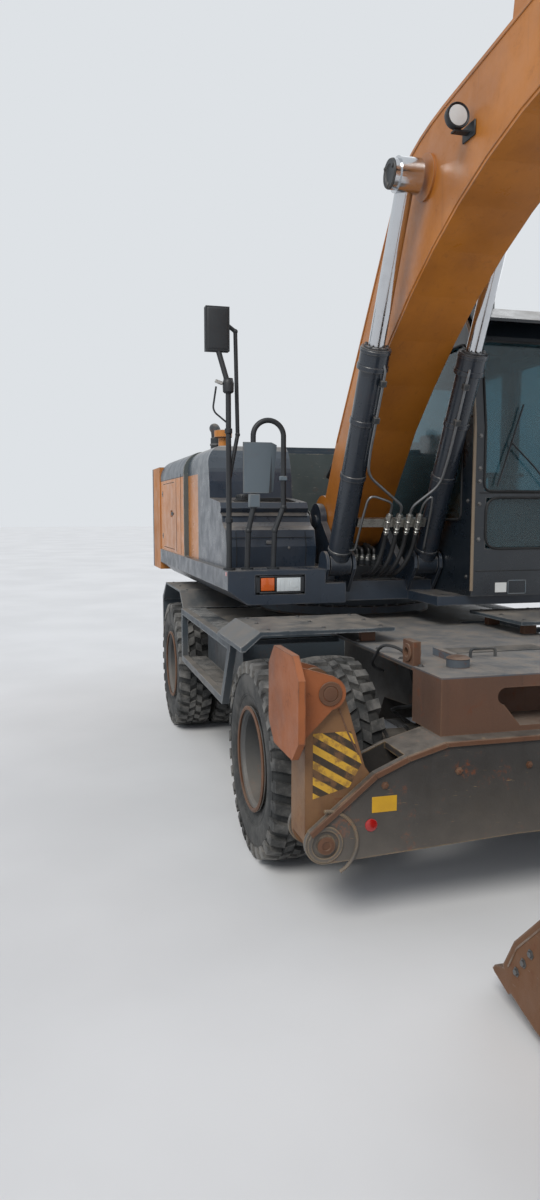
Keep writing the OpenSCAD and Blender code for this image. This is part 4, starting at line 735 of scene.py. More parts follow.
p = Piece("boom_pipe_clamps", "boom", "boom")
b = Piece("boom_clamp_bolts", "boom", "bolt")
for a in (1.5, 2.65, 3.45, 4.2):
    base = bp(a, top_at(a))
    slope = BOOM_A + math.degrees(math.atan2(top_at(a + 0.02) - top_at(a - 0.02), 0.04))
    for half, z0, z1 in ((0.022, 0, 0.022), (0.018, 0.024, 0.06)):
        p.prism([off(base, q, slope) for q in ((-half, z0), (half, z0), (half, z1), (-half, z1))],
                BOOM_Y - 0.15, BOOM_Y + 0.15, bevel=0.003)
    up = turn((0, 1), slope)
    for y in (-0.0925, 0, 0.0925):
        b.bolt(at(off(base, (0, 0.058), slope), y), (up[0], 0, up[1]), 0.009, 0.012)
p.done()
b.done()

p = Piece("boom_foot_hoses", None, "hose")
f = Piece("hose_fittings", "boom", "silver")
route = [(0.06, 0.33), (0.2, 0.355), *curve((0.2, 0.355), (0.52, 0.43), (0.76, 0.64), 5), (1.0, 0.762)]
for y in PIPE_Y:
    p.tube(path(bp, y, *route, over_top(1.16)), 0.0195, 14, 0.08)
    a, c = path(bp, y, over_top(1.12, 0.9), over_top(1.2))
    f.turned([(0.018, 0), (0.023, 0.01), (0.023, 0.04), (0.017, 0.055), (0.017, 0.075)],
             a, Vector(c) - Vector(a), 6)
f.done()
start, end = path(bp, 0, (0.08, 0.33), (0.8, 0.66))
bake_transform(p.done())

# The work lamp stands on the boom's right side.
lamp = at(bp(2.69, 0.88), -BOOM_W / 2)
p = Piece("work_lamp_body", "boom", "plastic", origin=lamp)
p.box((-0.06, -0.01, -0.09), (0.06, -0.0005, -0.02)).box((-0.02, -0.09, -0.068), (0.02, -0.002, -0.058), 0.002)
p.turned([(0.03, 0), (0.046, 0.004), (0.056, 0.02), (0.058, 0.05), (0.055, 0.055), (0.05, 0.05)],
         (-0.025, -0.075, 0), X).done()
Piece("work_lamp_lens", "boom", "lens", origin=lamp).turned(
    [(0.049, 0), (0.045, 0.004), (0.02, 0.007), (0, 0.0075)], (0.022, -0.075, 0), X).done()

# Pin caps: place, half width, radius, body
PINS = ((TIP, 0.21, 0.075, "boom"), (ARM_CYL_FOOT, 0.11, 0.055, "boom"), (BUCKET_PIN, 0.21, 0.06, "arm"),
        (IDLER_PIN, 0.2, 0.05, "arm"), (BUCKET_CYL_FOOT, 0.11, 0.045, "arm"), (FOOT, 0.305, 0.08, "upper"))
for i, (c, half, r, body) in enumerate(PINS):
    p = Piece(f"pin_caps_{i}", body, "bolt")
    for s in (-1, 1):
        base = Vector(at(c, s * half))
        p.turned([(r - 0.006, 0), (r, 0.003), (r, 0.008), (r * 0.6, 0.01), (r * 0.55, 0.006), (r * 0.2, 0.006)],
                 base, (0, s, 0))
        for a in (35, 215):
            p.bolt(base + disc(0.8 * r, a, s * 0.007), (0, s, 0), 0.009, 0.006)
    p.done()

# The arm's seams, and the pipes on its side
p = Piece("arm_seams", "arm", "boom")
for s in (-1, 1):
    p.tube(path(ap, s * 0.151, (0.35, -0.17), (ARM_L - 0.2, -0.082), (ARM_L - 0.08, -0.07)), BEAD, 6)
    p.tube(path(ap, s * 0.151, (0.72, 0.245), (ARM_L - 0.52, 0.1), (ARM_L - 0.2, 0.07)), BEAD, 6)
p.done()
p = Piece("arm_side_pipes", "arm", "boom")
for low in (0, 0.05):
    p.tube(path(ap, -0.15 - PIPE_R, (-0.35, 0.16 - low), (0.1, 0.2 - low), (0.42, 0.3 - low)), 0.011, 10, 0.08)
p.done()

# Upper structure
UPPER_HALF, DECK_FRONT, DECK_Z, HOOD_Z, TANK_Z, PLATFORM_Z = 1.18, 1.1, 1.46, 2.32, 1.9, 1.24
HOUSE_FRONT, DOOR_X, DOOR_Z = -0.65, (-1.88, -1.18), (1.49, 2.09)
DOOR_FACE, STACK_Y, SEAM = 1.1705, -0.76, 0.0022


def bars(p, x0, x1, bevel, *rows):
    """Thin bars on a face across x, each from its low to its high (y, z)."""
    return p.boxes(bevel, *[((x0, y0, z0), (x1, y1, z1)) for y0, z0, y1, z1 in rows])


lamp_x = DECK_FRONT - 0.005
bars(Piece("front_lamp_bezel", "upper", "plastic"), DECK_FRONT - 0.034, DECK_FRONT - 0.001, 0.003,
     (-0.995, 1.31, -0.675, 1.322), (-0.995, 1.413, -0.675, 1.425), (-0.995, 1.31, -0.968, 1.425),
     (-0.868, 1.31, -0.862, 1.425), (-0.698, 1.31, -0.675, 1.425)).done()
Piece("turn_lamp_lens", "upper", "amber").box(
    (lamp_x - 0.004, -0.962, 1.328), (lamp_x + 0.0035, -0.873, 1.411), 0.005, 3).done()
p = Piece("head_lamp_lens", "upper", "lens")
p.box((lamp_x - 0.004, -0.857, 1.323), (lamp_x + 0.0025, -0.698, 1.411), 0.004, 3)
bars(p, lamp_x + 0.001, lamp_x + 0.0045, 0.001,
     *[(-0.84 + 0.03 * i, 1.33, -0.836 + 0.03 * i, 1.404) for i in range(5)])
p.turned([(0.026, 0), (0.024, 0.003), (0, 0.005)], (lamp_x + 0.001, -0.742, 1.367), X, 24).done()
TAIL_R, TAIL_LAMP_Y = 2.85, 0.85
p = Piece("rear_lamp_lenses", "upper", "red")
for s in (-1, 1):
    x = -math.sqrt(TAIL_R ** 2 - TAIL_LAMP_Y ** 2) - 0.0052
    p.turned([(0.054, 0), (0.05, 0.006), (0.026, 0.01), (0.024, 0.007), (0, 0.008)],
             (x, s * TAIL_LAMP_Y, 1.7), (-1, 0, 0))
p.done()

# Housing: seams, locks, hinges
p = Piece("housing_seams", "upper", "seal")
for s in (-1, 1):
    y, top = s * (UPPER_HALF - 0.01), HOOD_Z - 0.2
    p.tube([(HOUSE_FRONT - 0.16, y, DECK_Z + 0.01), (HOUSE_FRONT - 0.16, y, HOOD_Z - 0.175)], SEAM, 6)
    p.tube([(-2.04, y, top), (HOUSE_FRONT - 0.02, y, top)], SEAM, 6)
    p.tube([(-1.06, y, DECK_Z + 0.02), (-1.06, y, top)], SEAM, 6)
p.done()
lock = (DOOR_X[1], 0, DOOR_Z[0])
Piece("door_locks", "side_door_right", "dark", origin=lock).box(
    (-0.215, -1.168, 0.3), (-0.1, -1.155, 0.338)).turned(
    [(0.011, 0), (0.011, 0.006), (0.008, 0.008)], (-0.045, -1.169, 0.32), (0, -1, 0), 20).done()
Piece("louvre_lock", "side_door_left", "dark", origin=lock).turned(
    [(0.02, 0), (0.02, 0.004), (0.014, 0.006)], (-0.04, 1.169, 0.32), Y, 24).done()
for side, s in (("right", -1), ("left", 1)):
    p = Piece(f"door_hinges_{side}", "upper", "bolt", origin=(DOOR_X[0], s * DOOR_FACE, 0))
    for z in (DOOR_Z[0] + 0.08, DOOR_Z[1] - 0.12):
        p.box((-0.052, -0.0015, z), (-0.006, 0.0015, z + 0.05), 0.001)
        for x in (-0.042, -0.02):
            p.bolt((x, s * 0.001, z + 0.025), (0, s, 0), 0.005, 0.004)
    p.done()
p = Piece("lid_catches", "engine_lid", "dark", origin=(0, 0, HOOD_Z))
for x in (-1.62, -1.03):
    for s in (-1, 1):
        p.box((x - 0.035, s * 0.652 - 0.01, 0.006), (x + 0.035, s * 0.652 + 0.004, 0.03), 0.003)
p.done()
Piece("lid_mesh", "engine_lid", "seal", origin=(0, 0, HOOD_Z)).box(
    (-1.7, -0.385, 0.04), (-0.95, 0.385, 0.0462), 0.001).done()
p = Piece("counterweight_seams", "upper", "seal", origin=(-2.4, 0, HOOD_Z - 0.12))
for s in (-1, 1):
    p.turned([(0.052, 0), (0.052, 0.004), (0.04, 0.006), (0.036, 0.002)], (0, s * 0.6, 0), Z, 28)
p.done()

# Tank: cap, seams, latch, tread strips on the ledge
p = Piece("tank_cap", "upper", "plastic", origin=(0.43, -0.92, TANK_Z + 0.012))
p.turned([(0.06, 0), (0.06, 0.01), (0.05, 0.012), (0.05, 0.034), (0.044, 0.042), (0, 0.045)], (0, 0, 0), Z, 36)
for i in range(18):
    rib, half = spin(0.05, math.radians(20 * i)), Vector((0.003, 0.003, 0))
    p.box(rib - half + Vector((0, 0, 0.014)), rib + half + Vector((0, 0, 0.034)), 0.001)
p.done()
p = Piece("tank_seams", "upper", "seal")
p.tube([(0.832, -1.12, DECK_Z + 0.2), (0.832, -0.53, DECK_Z + 0.2)], 0.0025, 6)
for y in (-1.06, -0.58):
    p.tube([(0.822, y, DECK_Z + 0.01), (0.837, y, DECK_Z + 0.14), (0.809, y, TANK_Z - 0.2)], 0.0025, 6)
p.tube([(0.7, -1.125, TANK_Z - 0.1), (0.7, -0.53, TANK_Z - 0.1)], 0.0025, 6).done()
Piece("tank_latch", "upper", "bolt", origin=(0.826, 0, DECK_Z)).box(
    (0, -0.86, 0.155), (0.016, -0.8, 0.18), 0.003).turned(
    [(0.01, 0), (0.01, 0.006), (0.006, 0.008)], (0.01, -0.7, 0.13), X, 18).done()
p = Piece("ledge_strips", "upper", "seal")
for i in range(6):
    x = 0.31 + 0.052 * i
    z = TANK_Z + 0.03 * (0.59 - x) / 0.32
    p.box((x, -1.02 if x > 0.5 else -0.82, z - 0.001), (x + 0.022, -0.58, z + 0.003), 0.001)
p.done()

# Deck in front of the tank: tread strips, clamps on the hoop, folded plate, mirror
POST = (DECK_FRONT - 0.09, -1.15, DECK_Z)
HOOP = (POST[0], 0, 0)
Piece("deck_strips", "upper", "slate", origin=(0, 0, DECK_Z)).boxes(
    0.001, *[((0.87 + 0.045 * i, -1.12, -0.001), (0.885 + 0.045 * i, -0.56, 0.003)) for i in range(5)]).done()
Piece("hoop_clamps", "upper", "grey", origin=HOOP).boxes(
    0.004, ((-0.02, -1.02, 1.86), (0.024, -0.95, 1.945)), ((-0.018, -0.815, 2.03), (0.02, -0.768, 2.06)),
    ((-0.018, -1.012, 2.24), (0.02, -0.965, 2.27))).done()
p = Piece("folded_plate", "upper", "grey", origin=(POST[0] + 0.0205, 0, 0))
front, back = ([p.bm.verts.new((x - thick, y, z)) for x, y, z in (
    (0.002, -1.06, 1.95), (0.002, -1.06, 2.27), (0.002, -0.875, 2.27), (-0.018, -0.835, 2.255),
    (-0.018, -0.86, 1.96), (0.006, -0.905, 1.95))] for thick in (0, 0.003))
for q in ((0, 1, 2, 5), (5, 2, 3, 4)):
    p.bm.faces.new([front[i] for i in q])
    p.bm.faces.new([back[i] for i in q[::-1]])
for i in range(6):
    j = (i + 1) % 6
    p.bm.faces.new((front[i], back[i], back[j], front[j]))
p.done()
p = Piece("mirror_fittings", "upper", "plastic", origin=POST)
p.turned([(0.026, 0), (0.034, 0.008), (0.036, 0.06), (0.03, 0.082), (0.02, 0.09)], (0, 0, 1.11), Z, 28)
p.tube([(0, 0, 0.92), (-0.01, -0.085, 0.99), (-0.015, -0.095, 1.02), (-0.012, -0.075, 1.15)], 0.006, 8, 0.02)
for z in (0.3, 0.86):
    p.turned([(0.019, 0), (0.024, 0.004), (0.024, 0.03), (0.019, 0.034)], (0, 0, z), Z, 24)
p.done()
Piece("mirror_head", "upper", "plastic", origin=POST).box(
    (-0.082, -0.139, 1.366), (-0.016, 0.019, 1.644), 0.024, 4).done()
Piece("mirror_face", "upper", "mirror", origin=POST).box(
    (-0.0845, -0.125, 1.385), (-0.08, 0.005, 1.625), 0.002).done()
Piece("clamp_tab", "upper", "silver", origin=POST).box(
    (-0.01, -0.085, 1.165), (0.012, -0.035, 1.185), 0.003, tilt=-20).done()

# Intake and exhaust
Piece("intake_cap", "upper", "panel", origin=(-1, STACK_Y, HOOD_Z)).turned(
    [(0.05, 0), (0.077, 0.004), (0.0775, 0.06), (0.06, 0.064), (0, 0.066)], (0, 0, 0.149), Z, 36).cyl(
    (0, 0, 0.02), (0, 0, 0.15), 0.0425, 28).done()
Piece("stack_clamps", "upper", "bolt", origin=(-1.3, STACK_Y, HOOD_Z)).ring(
    (0, 0, 0.1), Z, 0.05, 0.058, 0.02).ring((0, 0, 0.022), Z, 0.05, 0.066, 0.01).bolt_ring(
    (0, 0, 0.024), Z, 0.066, 6).done()

# Valve block, and the hoses that leave it rearwards
BLOCK_Z = PLATFORM_Z + 0.255
p = Piece("valve_block_ports", "upper", "silver")
b = Piece("valve_hoses", "upper", "hose")
for i, x in enumerate((0.6, 0.7, 0.8)):
    for y in (-0.09, 0, 0.09):
        p.turned([(0.02, 0), (0.02, 0.018), (0.016, 0.02), (0.016, 0.034)], at((x, BLOCK_Z), y), Z, 6)
        if i < 2:
            b.tube([at((x, BLOCK_Z + 0.02), y), at((x, BLOCK_Z + 0.07), y),
                    at((x - 0.18, BLOCK_Z + 0.13 - 0.03 * i), y * 1.1), at((0.2, 1.52 - 0.05 * i), y * 1.2)],
                   0.0125, 10, 0.06)
p.done()
b.done()
Piece("skirt_markers", "upper", "red").box((1.035, -1.1815, 1.425), (1.075, -1.1795, 1.452), 0.0008).done()
Piece("skirt_plate", "upper", "grey").box((-1.98, -1.1815, 1.385), (-1.9, -1.1795, 1.435), 0.0008).done()

# Cab
CAB_Y0, CAB_FRONT, CAB_REAR, CAB_TOP = UPPER_HALF - 0.88, 1.5, -0.25, 3.08
PANE_X, PANE_Z = (0.56, 1.32), (1.96, 2.88)


def seal(piece, corners, bend=0.05):
    """A closed seal through the corners of an opening."""
    pts = [Vector(c) for c in corners]
    middle_of_first = (pts[0] + pts[1]) / 2
    return piece.tube([middle_of_first] + pts[1:] + [pts[0], middle_of_first], 0.008, 8, bend)


def across_x(y0, y1, z0, z1, x):
    return [(x, y0, z0), (x, y1, z0), (x, y1, z1), (x, y0, z1)]


def across_y(x0, x1, z0, z1, y):
    return [(x0, y, z0), (x1, y, z0), (x1, y, z1), (x0, y, z1)]


p = Piece("window_seals", "upper", "seal")
screen_x, slope = CAB_FRONT + 0.002, (CAB_FRONT - 0.08 + 0.005, CAB_TOP - 0.19)
seal(p, [(screen_x, 1.105, 1.96), (screen_x, 0.375, 1.96), (screen_x, 0.375, 2.35), (slope[0], 0.375, slope[1]),
         (slope[0], 1.105, slope[1]), (screen_x, 1.105, 2.35)])
seal(p, across_x(0.39, 1.09, 1.6, 1.92, screen_x), 0.09)
seal(p, across_x(0.39, 1.09, 2.1, 2.84, CAB_REAR - 0.002))
seal(p, across_y(-0.13, 1.35, 1.78, 2.88, CAB_Y0 - 0.002))
seal(p, across_y(-0.13, 0.4, 2.0, 2.88, UPPER_HALF + 0.002)).done()
y = UPPER_HALF + 0.002
seal(Piece("door_seal", "cab_door", "seal"), across_y(*PANE_X, *PANE_Z, y)).tube(
    [(0.96, y - 0.012, PANE_Z[0]), (0.96, y - 0.012, PANE_Z[1])], 0.011, 8).done()
p = Piece("door_fittings", "cab_door", "dark", origin=(0, UPPER_HALF, 0))
for z in (1.4, 1.85, 2.86):
    p.cyl((0.476, 0.003, z), (0.476, 0.003, z + 0.09), 0.013, 18)
p.turned([(0.014, 0), (0.014, 0.01), (0.009, 0.013)], (1.3, 0, 1.7), Y, 20).done()
FACE = (CAB_FRONT, 0, 0)
Piece("cab_front_seams", "upper", "seal", origin=FACE).box((-0.001, 0.325, 1.456), (0.0015, 1.16, 1.462), 0.0005).box(
    (-0.001, 0.345, 1.946), (0.004, 1.13, 1.952), 0.001).done()
# A tan tube down the cab's front corner pillar: a painted highlight of the pillar's rounded corner, not a real strip.
Piece("cab_pillar_highlight", "upper", "tan", origin=(CAB_FRONT, CAB_Y0 + 0.004, 0)).tube(
    [(-0.004, 0, 1.335), (-0.004, 0, 2.35), (-0.084, 0, 2.92), (-0.175, 0, 3.055)], 0.011, 12, 0.06).done()
p = Piece("pillar_bolts", "upper", "bolt")
for z in (1.66, 1.88, 2.02, 2.1, 2.3):
    p.bolt((CAB_FRONT, 0.342, z), X, 0.01, 0.01)
for z in (1.42, 1.9, 2.25):
    p.bolt((1.43, CAB_Y0, z), (0, -1, 0), 0.01, 0.008)
p.done()
bars(Piece("blank_plate_white", "upper", "white", origin=FACE), -0.0005, 0.002, 0.0008,
     (0.469, 1.322, 0.55, 1.384)).done()
bars(Piece("blank_plate_dark", "upper", "grey", "black_plastic", FACE), -0.0005, 0.003, 0.0008,
     (0.558, 1.309, 0.69, 1.315), (0.558, 1.393, 0.69, 1.399), (0.558, 1.309, 0.564, 1.399),
     (0.684, 1.309, 0.69, 1.399)).done()
Piece("wiper", "upper", "plastic", origin=FACE).turned(
    [(0.022, 0), (0.02, 0.022), (0.01, 0.03)], (-0.002, 0.88, 1.935), X, 20).tube(
    [(0.024, 0.88, 1.935), (0.026, 0.7, 2.12), (0.016, 0.55, 2.26)], 0.006, 8, 0.04).tube(
    [(0.01, 0.46, 1.99), (0.01, 0.55, 2.26), (-0.012, 0.64, 2.5)], 0.006, 8, 0.1).done()
p = Piece("roof_lamp_lenses", "upper", "lens", origin=(CAB_FRONT, 0, CAB_TOP))
for y in (CAB_Y0 + 0.09, UPPER_HALF - 0.23):
    p.box((-0.214, y + 0.01, 0.042), (-0.204, y + 0.13, 0.12), 0.006, 2)
p.done()
p = Piece("roof_gutter", "upper", "cab", origin=(0, 0, CAB_TOP))
for y in (CAB_Y0 - 0.001, UPPER_HALF + 0.001):
    p.tube([(CAB_REAR + 0.02, y, -0.14), (CAB_REAR + 0.14, y, -0.035), (CAB_FRONT - 0.2, y, -0.035)], 0.009, 8, 0.05)
p.done()

# Inside the cab, from the seat's place on the floor
SEAT = (0.37, 0.74, 1.36)
Piece("monitor_screen", "upper", "glossy", origin=SEAT).box(
    (0.554, -0.315, 0.618), (0.561, -0.145, 0.745), 0.002).done()
p = Piece("console_details", "upper", "plastic", origin=SEAT)
for y in (-0.32, 0.32):
    p.box((-0.24, y - 0.052, 0.559), (0.06, y + 0.052, 0.595), 0.016, 3)
    p.turned([(0.034, 0), (0.03, 0.02), (0.018, 0.06), (0.014, 0.09)], (0.22, y, 0.56), Z, 20)
    p.turned([(0.018, 0), (0.028, 0.03), (0.03, 0.09), (0.02, 0.118), (0, 0.122)], (0.22, y, 0.655), Z, 20)
for i in range(4):
    p.turned([(0.012, 0), (0.012, 0.007), (0.008, 0.009)], (0.1, -0.355 + 0.024 * i, 0.56), Z, 14)
    for y in (-0.09, 0.09):
        x = 0.488 + 0.018 * i
        p.box((x, y - 0.04, 0.059), (x + 0.006, y + 0.04, 0.065), 0.001)
p.done()
p = Piece("seat_frame", "upper", "plastic", origin=SEAT)
p.box((-0.372, -0.2, 0.47), (-0.352, 0.2, 1.02), 0.008, 2)
for y in (-0.06, 0.06):
    p.tube([(-0.33, y, 0.86), (-0.33, y, 0.96)], 0.008, 8)
p.done()

# How far cloth may move from its start, and stand out of its box
CLOTH_MOVE, CLOTH_PROUD, CLOTH_FRAMES = 0.008, 0.004, 20


def cushion(name, lo, hi, rows):
    """A stuffed form with sewn channels, crowned between its corners, settled by cloth."""
    lo, hi = ([a + b for a, b in zip(SEAT, c)] for c in (lo, hi))
    bm = bmesh.new()
    bmesh.ops.create_cube(bm, size=2)
    bmesh.ops.subdivide_edges(bm, edges=bm.edges[:], cuts=15, use_grid_fill=True)
    mid, half = (Vector(lo) + Vector(hi)) / 2, (Vector(hi) - Vector(lo)) / 2
    thin = min(range(3), key=lambda i: half[i])
    w0, w1 = [i for i in range(3) if i != thin]
    for v in bm.verts:
        c = v.co.copy()
        c = c / (abs(c.x) ** 5 + abs(c.y) ** 5 + abs(c.z) ** 5) ** 0.2
        crown = (1 - c[w0] ** 2) * (1 - c[w1] ** 2)
        pull = 1 - 0.05 * (1 - abs(c[thin])) * (c[w0] ** 2 + c[w1] ** 2)
        groove = abs(math.sin(math.pi * rows * (c[w1] + 1) / 2)) ** 0.35 if abs(c[w0]) < 0.72 else 1.0
        c[w0] *= pull
        c[w1] *= pull
        c[thin] *= (0.78 + 0.22 * crown) * (0.93 + 0.07 * groove)
        v.co = mid + Vector((c.x * half.x, c.y * half.y, c.z * half.z))
    bmesh.ops.translate(bm, vec=(-MID, 0, 0), verts=bm.verts)
    bmesh.ops.recalc_face_normals(bm, faces=bm.faces)
    ob = mesh_object(name, bm, MAT["fabric"])
    settle(ob, lo, hi)
    dress(ob.data, MAT["fabric"])
    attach(ob, "upper")
    return ob


def evaluated(ob):
    """The object's mesh with its modifiers applied."""
    return bpy.data.meshes.new_from_object(ob.evaluated_get(bpy.context.evaluated_depsgraph_get()))


def settle(ob, lo, hi):
    """A short cloth run with pressure inside, kept within the form's box."""
    bpy.context.view_layer.objects.active = ob
    remesh = ob.modifiers.new("remesh", "REMESH")
    remesh.mode = "VOXEL"
    remesh.voxel_size = 0.008
    ob_mesh = evaluated(ob)
    ob.modifiers.clear()
    ob.data = ob_mesh
    cloth_run = ob.modifiers.new("cloth", "CLOTH")
    for k, v in {"quality": 4, "use_pressure": True, "uniform_pressure_force": 3, "tension_stiffness": 18,
                 "compression_stiffness": 18, "bending_stiffness": 2}.items():
        setattr(cloth_run.settings, k, v)
    cloth_run.settings.effector_weights.gravity = 0
    cloth_run.point_cache.frame_end = CLOTH_FRAMES
    start = [v.co.copy() for v in ob_mesh.vertices]
    for frame_no in range(1, CLOTH_FRAMES + 1):
        bpy.context.scene.frame_set(frame_no)
    out = evaluated(ob)
    bpy.context.scene.frame_set(1)
    ob.modifiers.clear()
    shift = Vector((MID, 0, 0))
    low, high = Vector(lo) - shift, Vector(hi) - shift
    for v, was in zip(out.vertices, start):
        move = v.co - was
        if move.length > CLOTH_MOVE:
            move = move.normalized() * CLOTH_MOVE
        v.co = was + move
        for i in range(3):
            v.co[i] = min(max(v.co[i], low[i] - CLOTH_PROUD), high[i] + CLOTH_PROUD)
    ob.data = out


base = cushion("seat_cushion", (-0.235, -0.238, 0.382), (0.248, 0.238, 0.5), 4)
cushion("seat_back", (-0.355, -0.235, 0.44), (-0.238, 0.235, 0.9), 5)
cushion("head_rest", (-0.352, -0.13, 0.93), (-0.262, 0.13, 1.078), 1)
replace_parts(base, "seat")

# Undercarriage
DECK, BEAM_X, LEG_PIVOT = 1.1, 2.985, (1.17, 0.43)
STEP_Y, STEP_X0, STEP_TOP, STEP_LOW = (1.07, 1.22), -0.24, 1.075, 0.66
LEG_X, FOOT_PIN = (2.749, 2.949), (1.15, 1.08)
SIDES = (("right", -1), ("left", 1))


def sided(name, mat, build, slot=None):
    """The same details on the right and on the left."""
    p = Piece(name, "undercarriage", mat, slot)
    for _, s in SIDES:
        build(p, s)
    return p.done()


def treads(p, s):
    for z, x1 in ((STEP_TOP, 1.43), (STEP_LOW + 0.025, 1.28)):
        x = STEP_X0 + 0.03
        while x < x1:
            p.side_box(s, (x, STEP_Y[0] + 0.008, z - 0.001), (x + 0.01, STEP_Y[1] - 0.006, z + 0.004), 0.001)
            x += 0.042


def tool_box_fittings(p, s):
    for x in (0.12, 0.78):
        p.side_box(s, (x, 1.068, 0.965), (x + 0.05, 1.078, 1.0))
    p.side_box(s, (0.4, 1.068, 0.9), (0.56, 1.08, 0.93), 0.004)


def fender_bolts(p, s):
    for xs, ys, z, r, h in (((1.36, 1.6, 1.86), (0.46, 0.8, 1.12), 1.19, 0.01, 0.008),
                            ((-1.2, -0.83, -0.48), (0.72, 1.18), 1.195, 0.009, 0.007)):
        for x in xs:
            for y in ys:
                p.bolt((x, s * y, z), Z, r, h)


def fender_brackets(p, s):
    for x in (1.79, 1.37):
        p.side_box(s, (x - 0.003, 0.478, 1.101), (x + 0.043, 0.563, 1.1675))


def mud_flaps(p, s):
    x = REAR_X - 0.655
    for k in range(8):
        y0 = 0.66 + 0.07 * k
        p.side_box(s, (x + 0.0005, y0, 0.6), (x + 0.0035, y0 + 0.058, 0.985), 0.001)
    p.side_box(s, (x, 0.645, 0.985), (x + 0.004, 1.235, 1.015), 0.001)


def deck_bolts(p, s):
    for x in (1.5, 1.8, 2.1, 2.4, 2.62):
        p.bolt((x, s * 0.57, DECK), Z, 0.012, 0.01)
    for k in range(5):
        p.bolt(spin(0.04, math.radians(72 * k), DECK + 0.045) + Vector((2.67, s * 0.4, 0)), Z, 0.007, 0.006)
    for x in (2.38, 2.5):
        for z in (0.86, 1.03):
            p.bolt((x, s * 0.44, z), (0, s, 0), 0.011, 0.01)


def chassis_hoses(p, s):
    for r, bend, pts in (
            (0.008, 0.06, ((2.3, 0.455, 0.95), (2.3, 0.5, 1.12), (2.22, 0.6, 1.155), (2.12, 0.625, 1.02),
                           (2.1, 0.54, 0.98))),
            (0.01, 0.06, ((2.46, 0.445, 0.92), (2.52, 0.52, 0.86), (2.56, 0.5, 0.74), (2.7, 0.4, 0.7))),
            (0.01, 0.08, ((2.35, 0.445, 0.84), (2.2, 0.5, 0.8), (2.02, 0.46, 0.74), (2.0, 0.34, 0.66)))):
        p.tube([(x, s * y, z) for x, y, z in pts], r, 8, bend)


def castings(p, s):
    for f in (-1, 1):
        p.ring((2.54, s * 0.58 + f * 0.0195, DECK + 0.058), (0, f, 0), 0.024, 0.044, 0.01, 28)
    p.turned([(0.058, 0), (0.05, 0.006), (0.04, 0.01)], (2.67, s * 0.4, DECK + 0.043), Z, 30)


sided("step_treads", "step", treads)
sided("tool_box_fittings", "bolt", tool_box_fittings)
sided("fender_bolts", "bolt", fender_bolts)
sided("fender_brackets", "brown", fender_brackets)
sided("mud_flaps", "mud", mud_flaps)
sided("deck_bolts", "bolt", deck_bolts)
sided("chassis_hoses", "hose", chassis_hoses)
sided("deck_castings", "brown", castings)
Piece("deck_handle", "undercarriage", "dark", origin=(0, 0, DECK)).tube(
    [(2.46, -0.22, 0), (2.46, -0.22, 0.045), (2.46, -0.08, 0.045), (2.46, -0.08, 0)], 0.008, 8, 0.03).box(
    (2.2, -0.3, -0.001), (2.34, 0.3, 0.006), 0.002).done()
Piece("slew_bolts", "undercarriage", "bolt").bolt_ring((0, 0, DECK + 0.05), Z, 0.63, 40, 0.011, 0.012).done()

# Stabiliser beam: edge flange, boss arcs, pin caps, reflectors, blank plate
SHOULDER = ((1.24, 0.487), (0.95, 0.722), (0.8, 0.785), (0.62, 0.835))


def beam_flange(p, s):
    top = [(s * y, z) for y, z in SHOULDER] + [(0, 0.835)]
    low = [(s * (y - 0.012), z - 0.022) for y, z in SHOULDER] + [(0, 0.813)]
    for i in range(4):
        p.prism([top[i], top[i + 1], low[i + 1], low[i]], BEAM_X - 0.001, BEAM_X + 0.012, "yz", 0.002)


def boss_arc(p, s):
    y, z = LEG_PIVOT
    arc = [spin(0.145, math.radians(11 * i - 62)) for i in range(15)]
    p.tube([(BEAM_X + 0.001, s * (y - q.x), z + q.y) for q in arc], 0.008, 8)
    p.ring((BEAM_X - 0.001, s * y, z), X, 0.06, 0.08, 0.008, 36)


def beam_pins(p, s):
    for x, d in ((BEAM_X + 0.0115, 1), (BEAM_X - 0.2685, -1)):
        p.turned([(0.036, 0), (0.039, 0.003), (0.039, 0.007), (0.02, 0.01), (0.018, 0.006)],
                 (x, s * LEG_PIVOT[0], LEG_PIVOT[1]), (d, 0, 0), 30)
    for y, z in ((0.9, 0.665), (0.55, 0.7), (0.2, 0.7)):
        p.bolt((BEAM_X, s * y, z), X, 0.012, 0.01)


sided("beam_flange", "brown", beam_flange, "dark_steel")
sided("boss_arcs", "beam", boss_arc)
sided("beam_pin_caps", "brown", beam_pins, "dark_steel")
sided("beam_reflectors", "red", lambda p, s: p.turned(
    [(0.028, 0), (0.028, 0.004), (0.022, 0.007), (0, 0.008)], (BEAM_X - 0.0005, s * 0.962, 0.495), X, 30))
bars(Piece("beam_blank_plates", "undercarriage", "yellow", origin=(BEAM_X, 0, 0)), -0.0005, 0.0015, 0.0006,
     (-0.959, 0.548, -0.844, 0.618)).done()

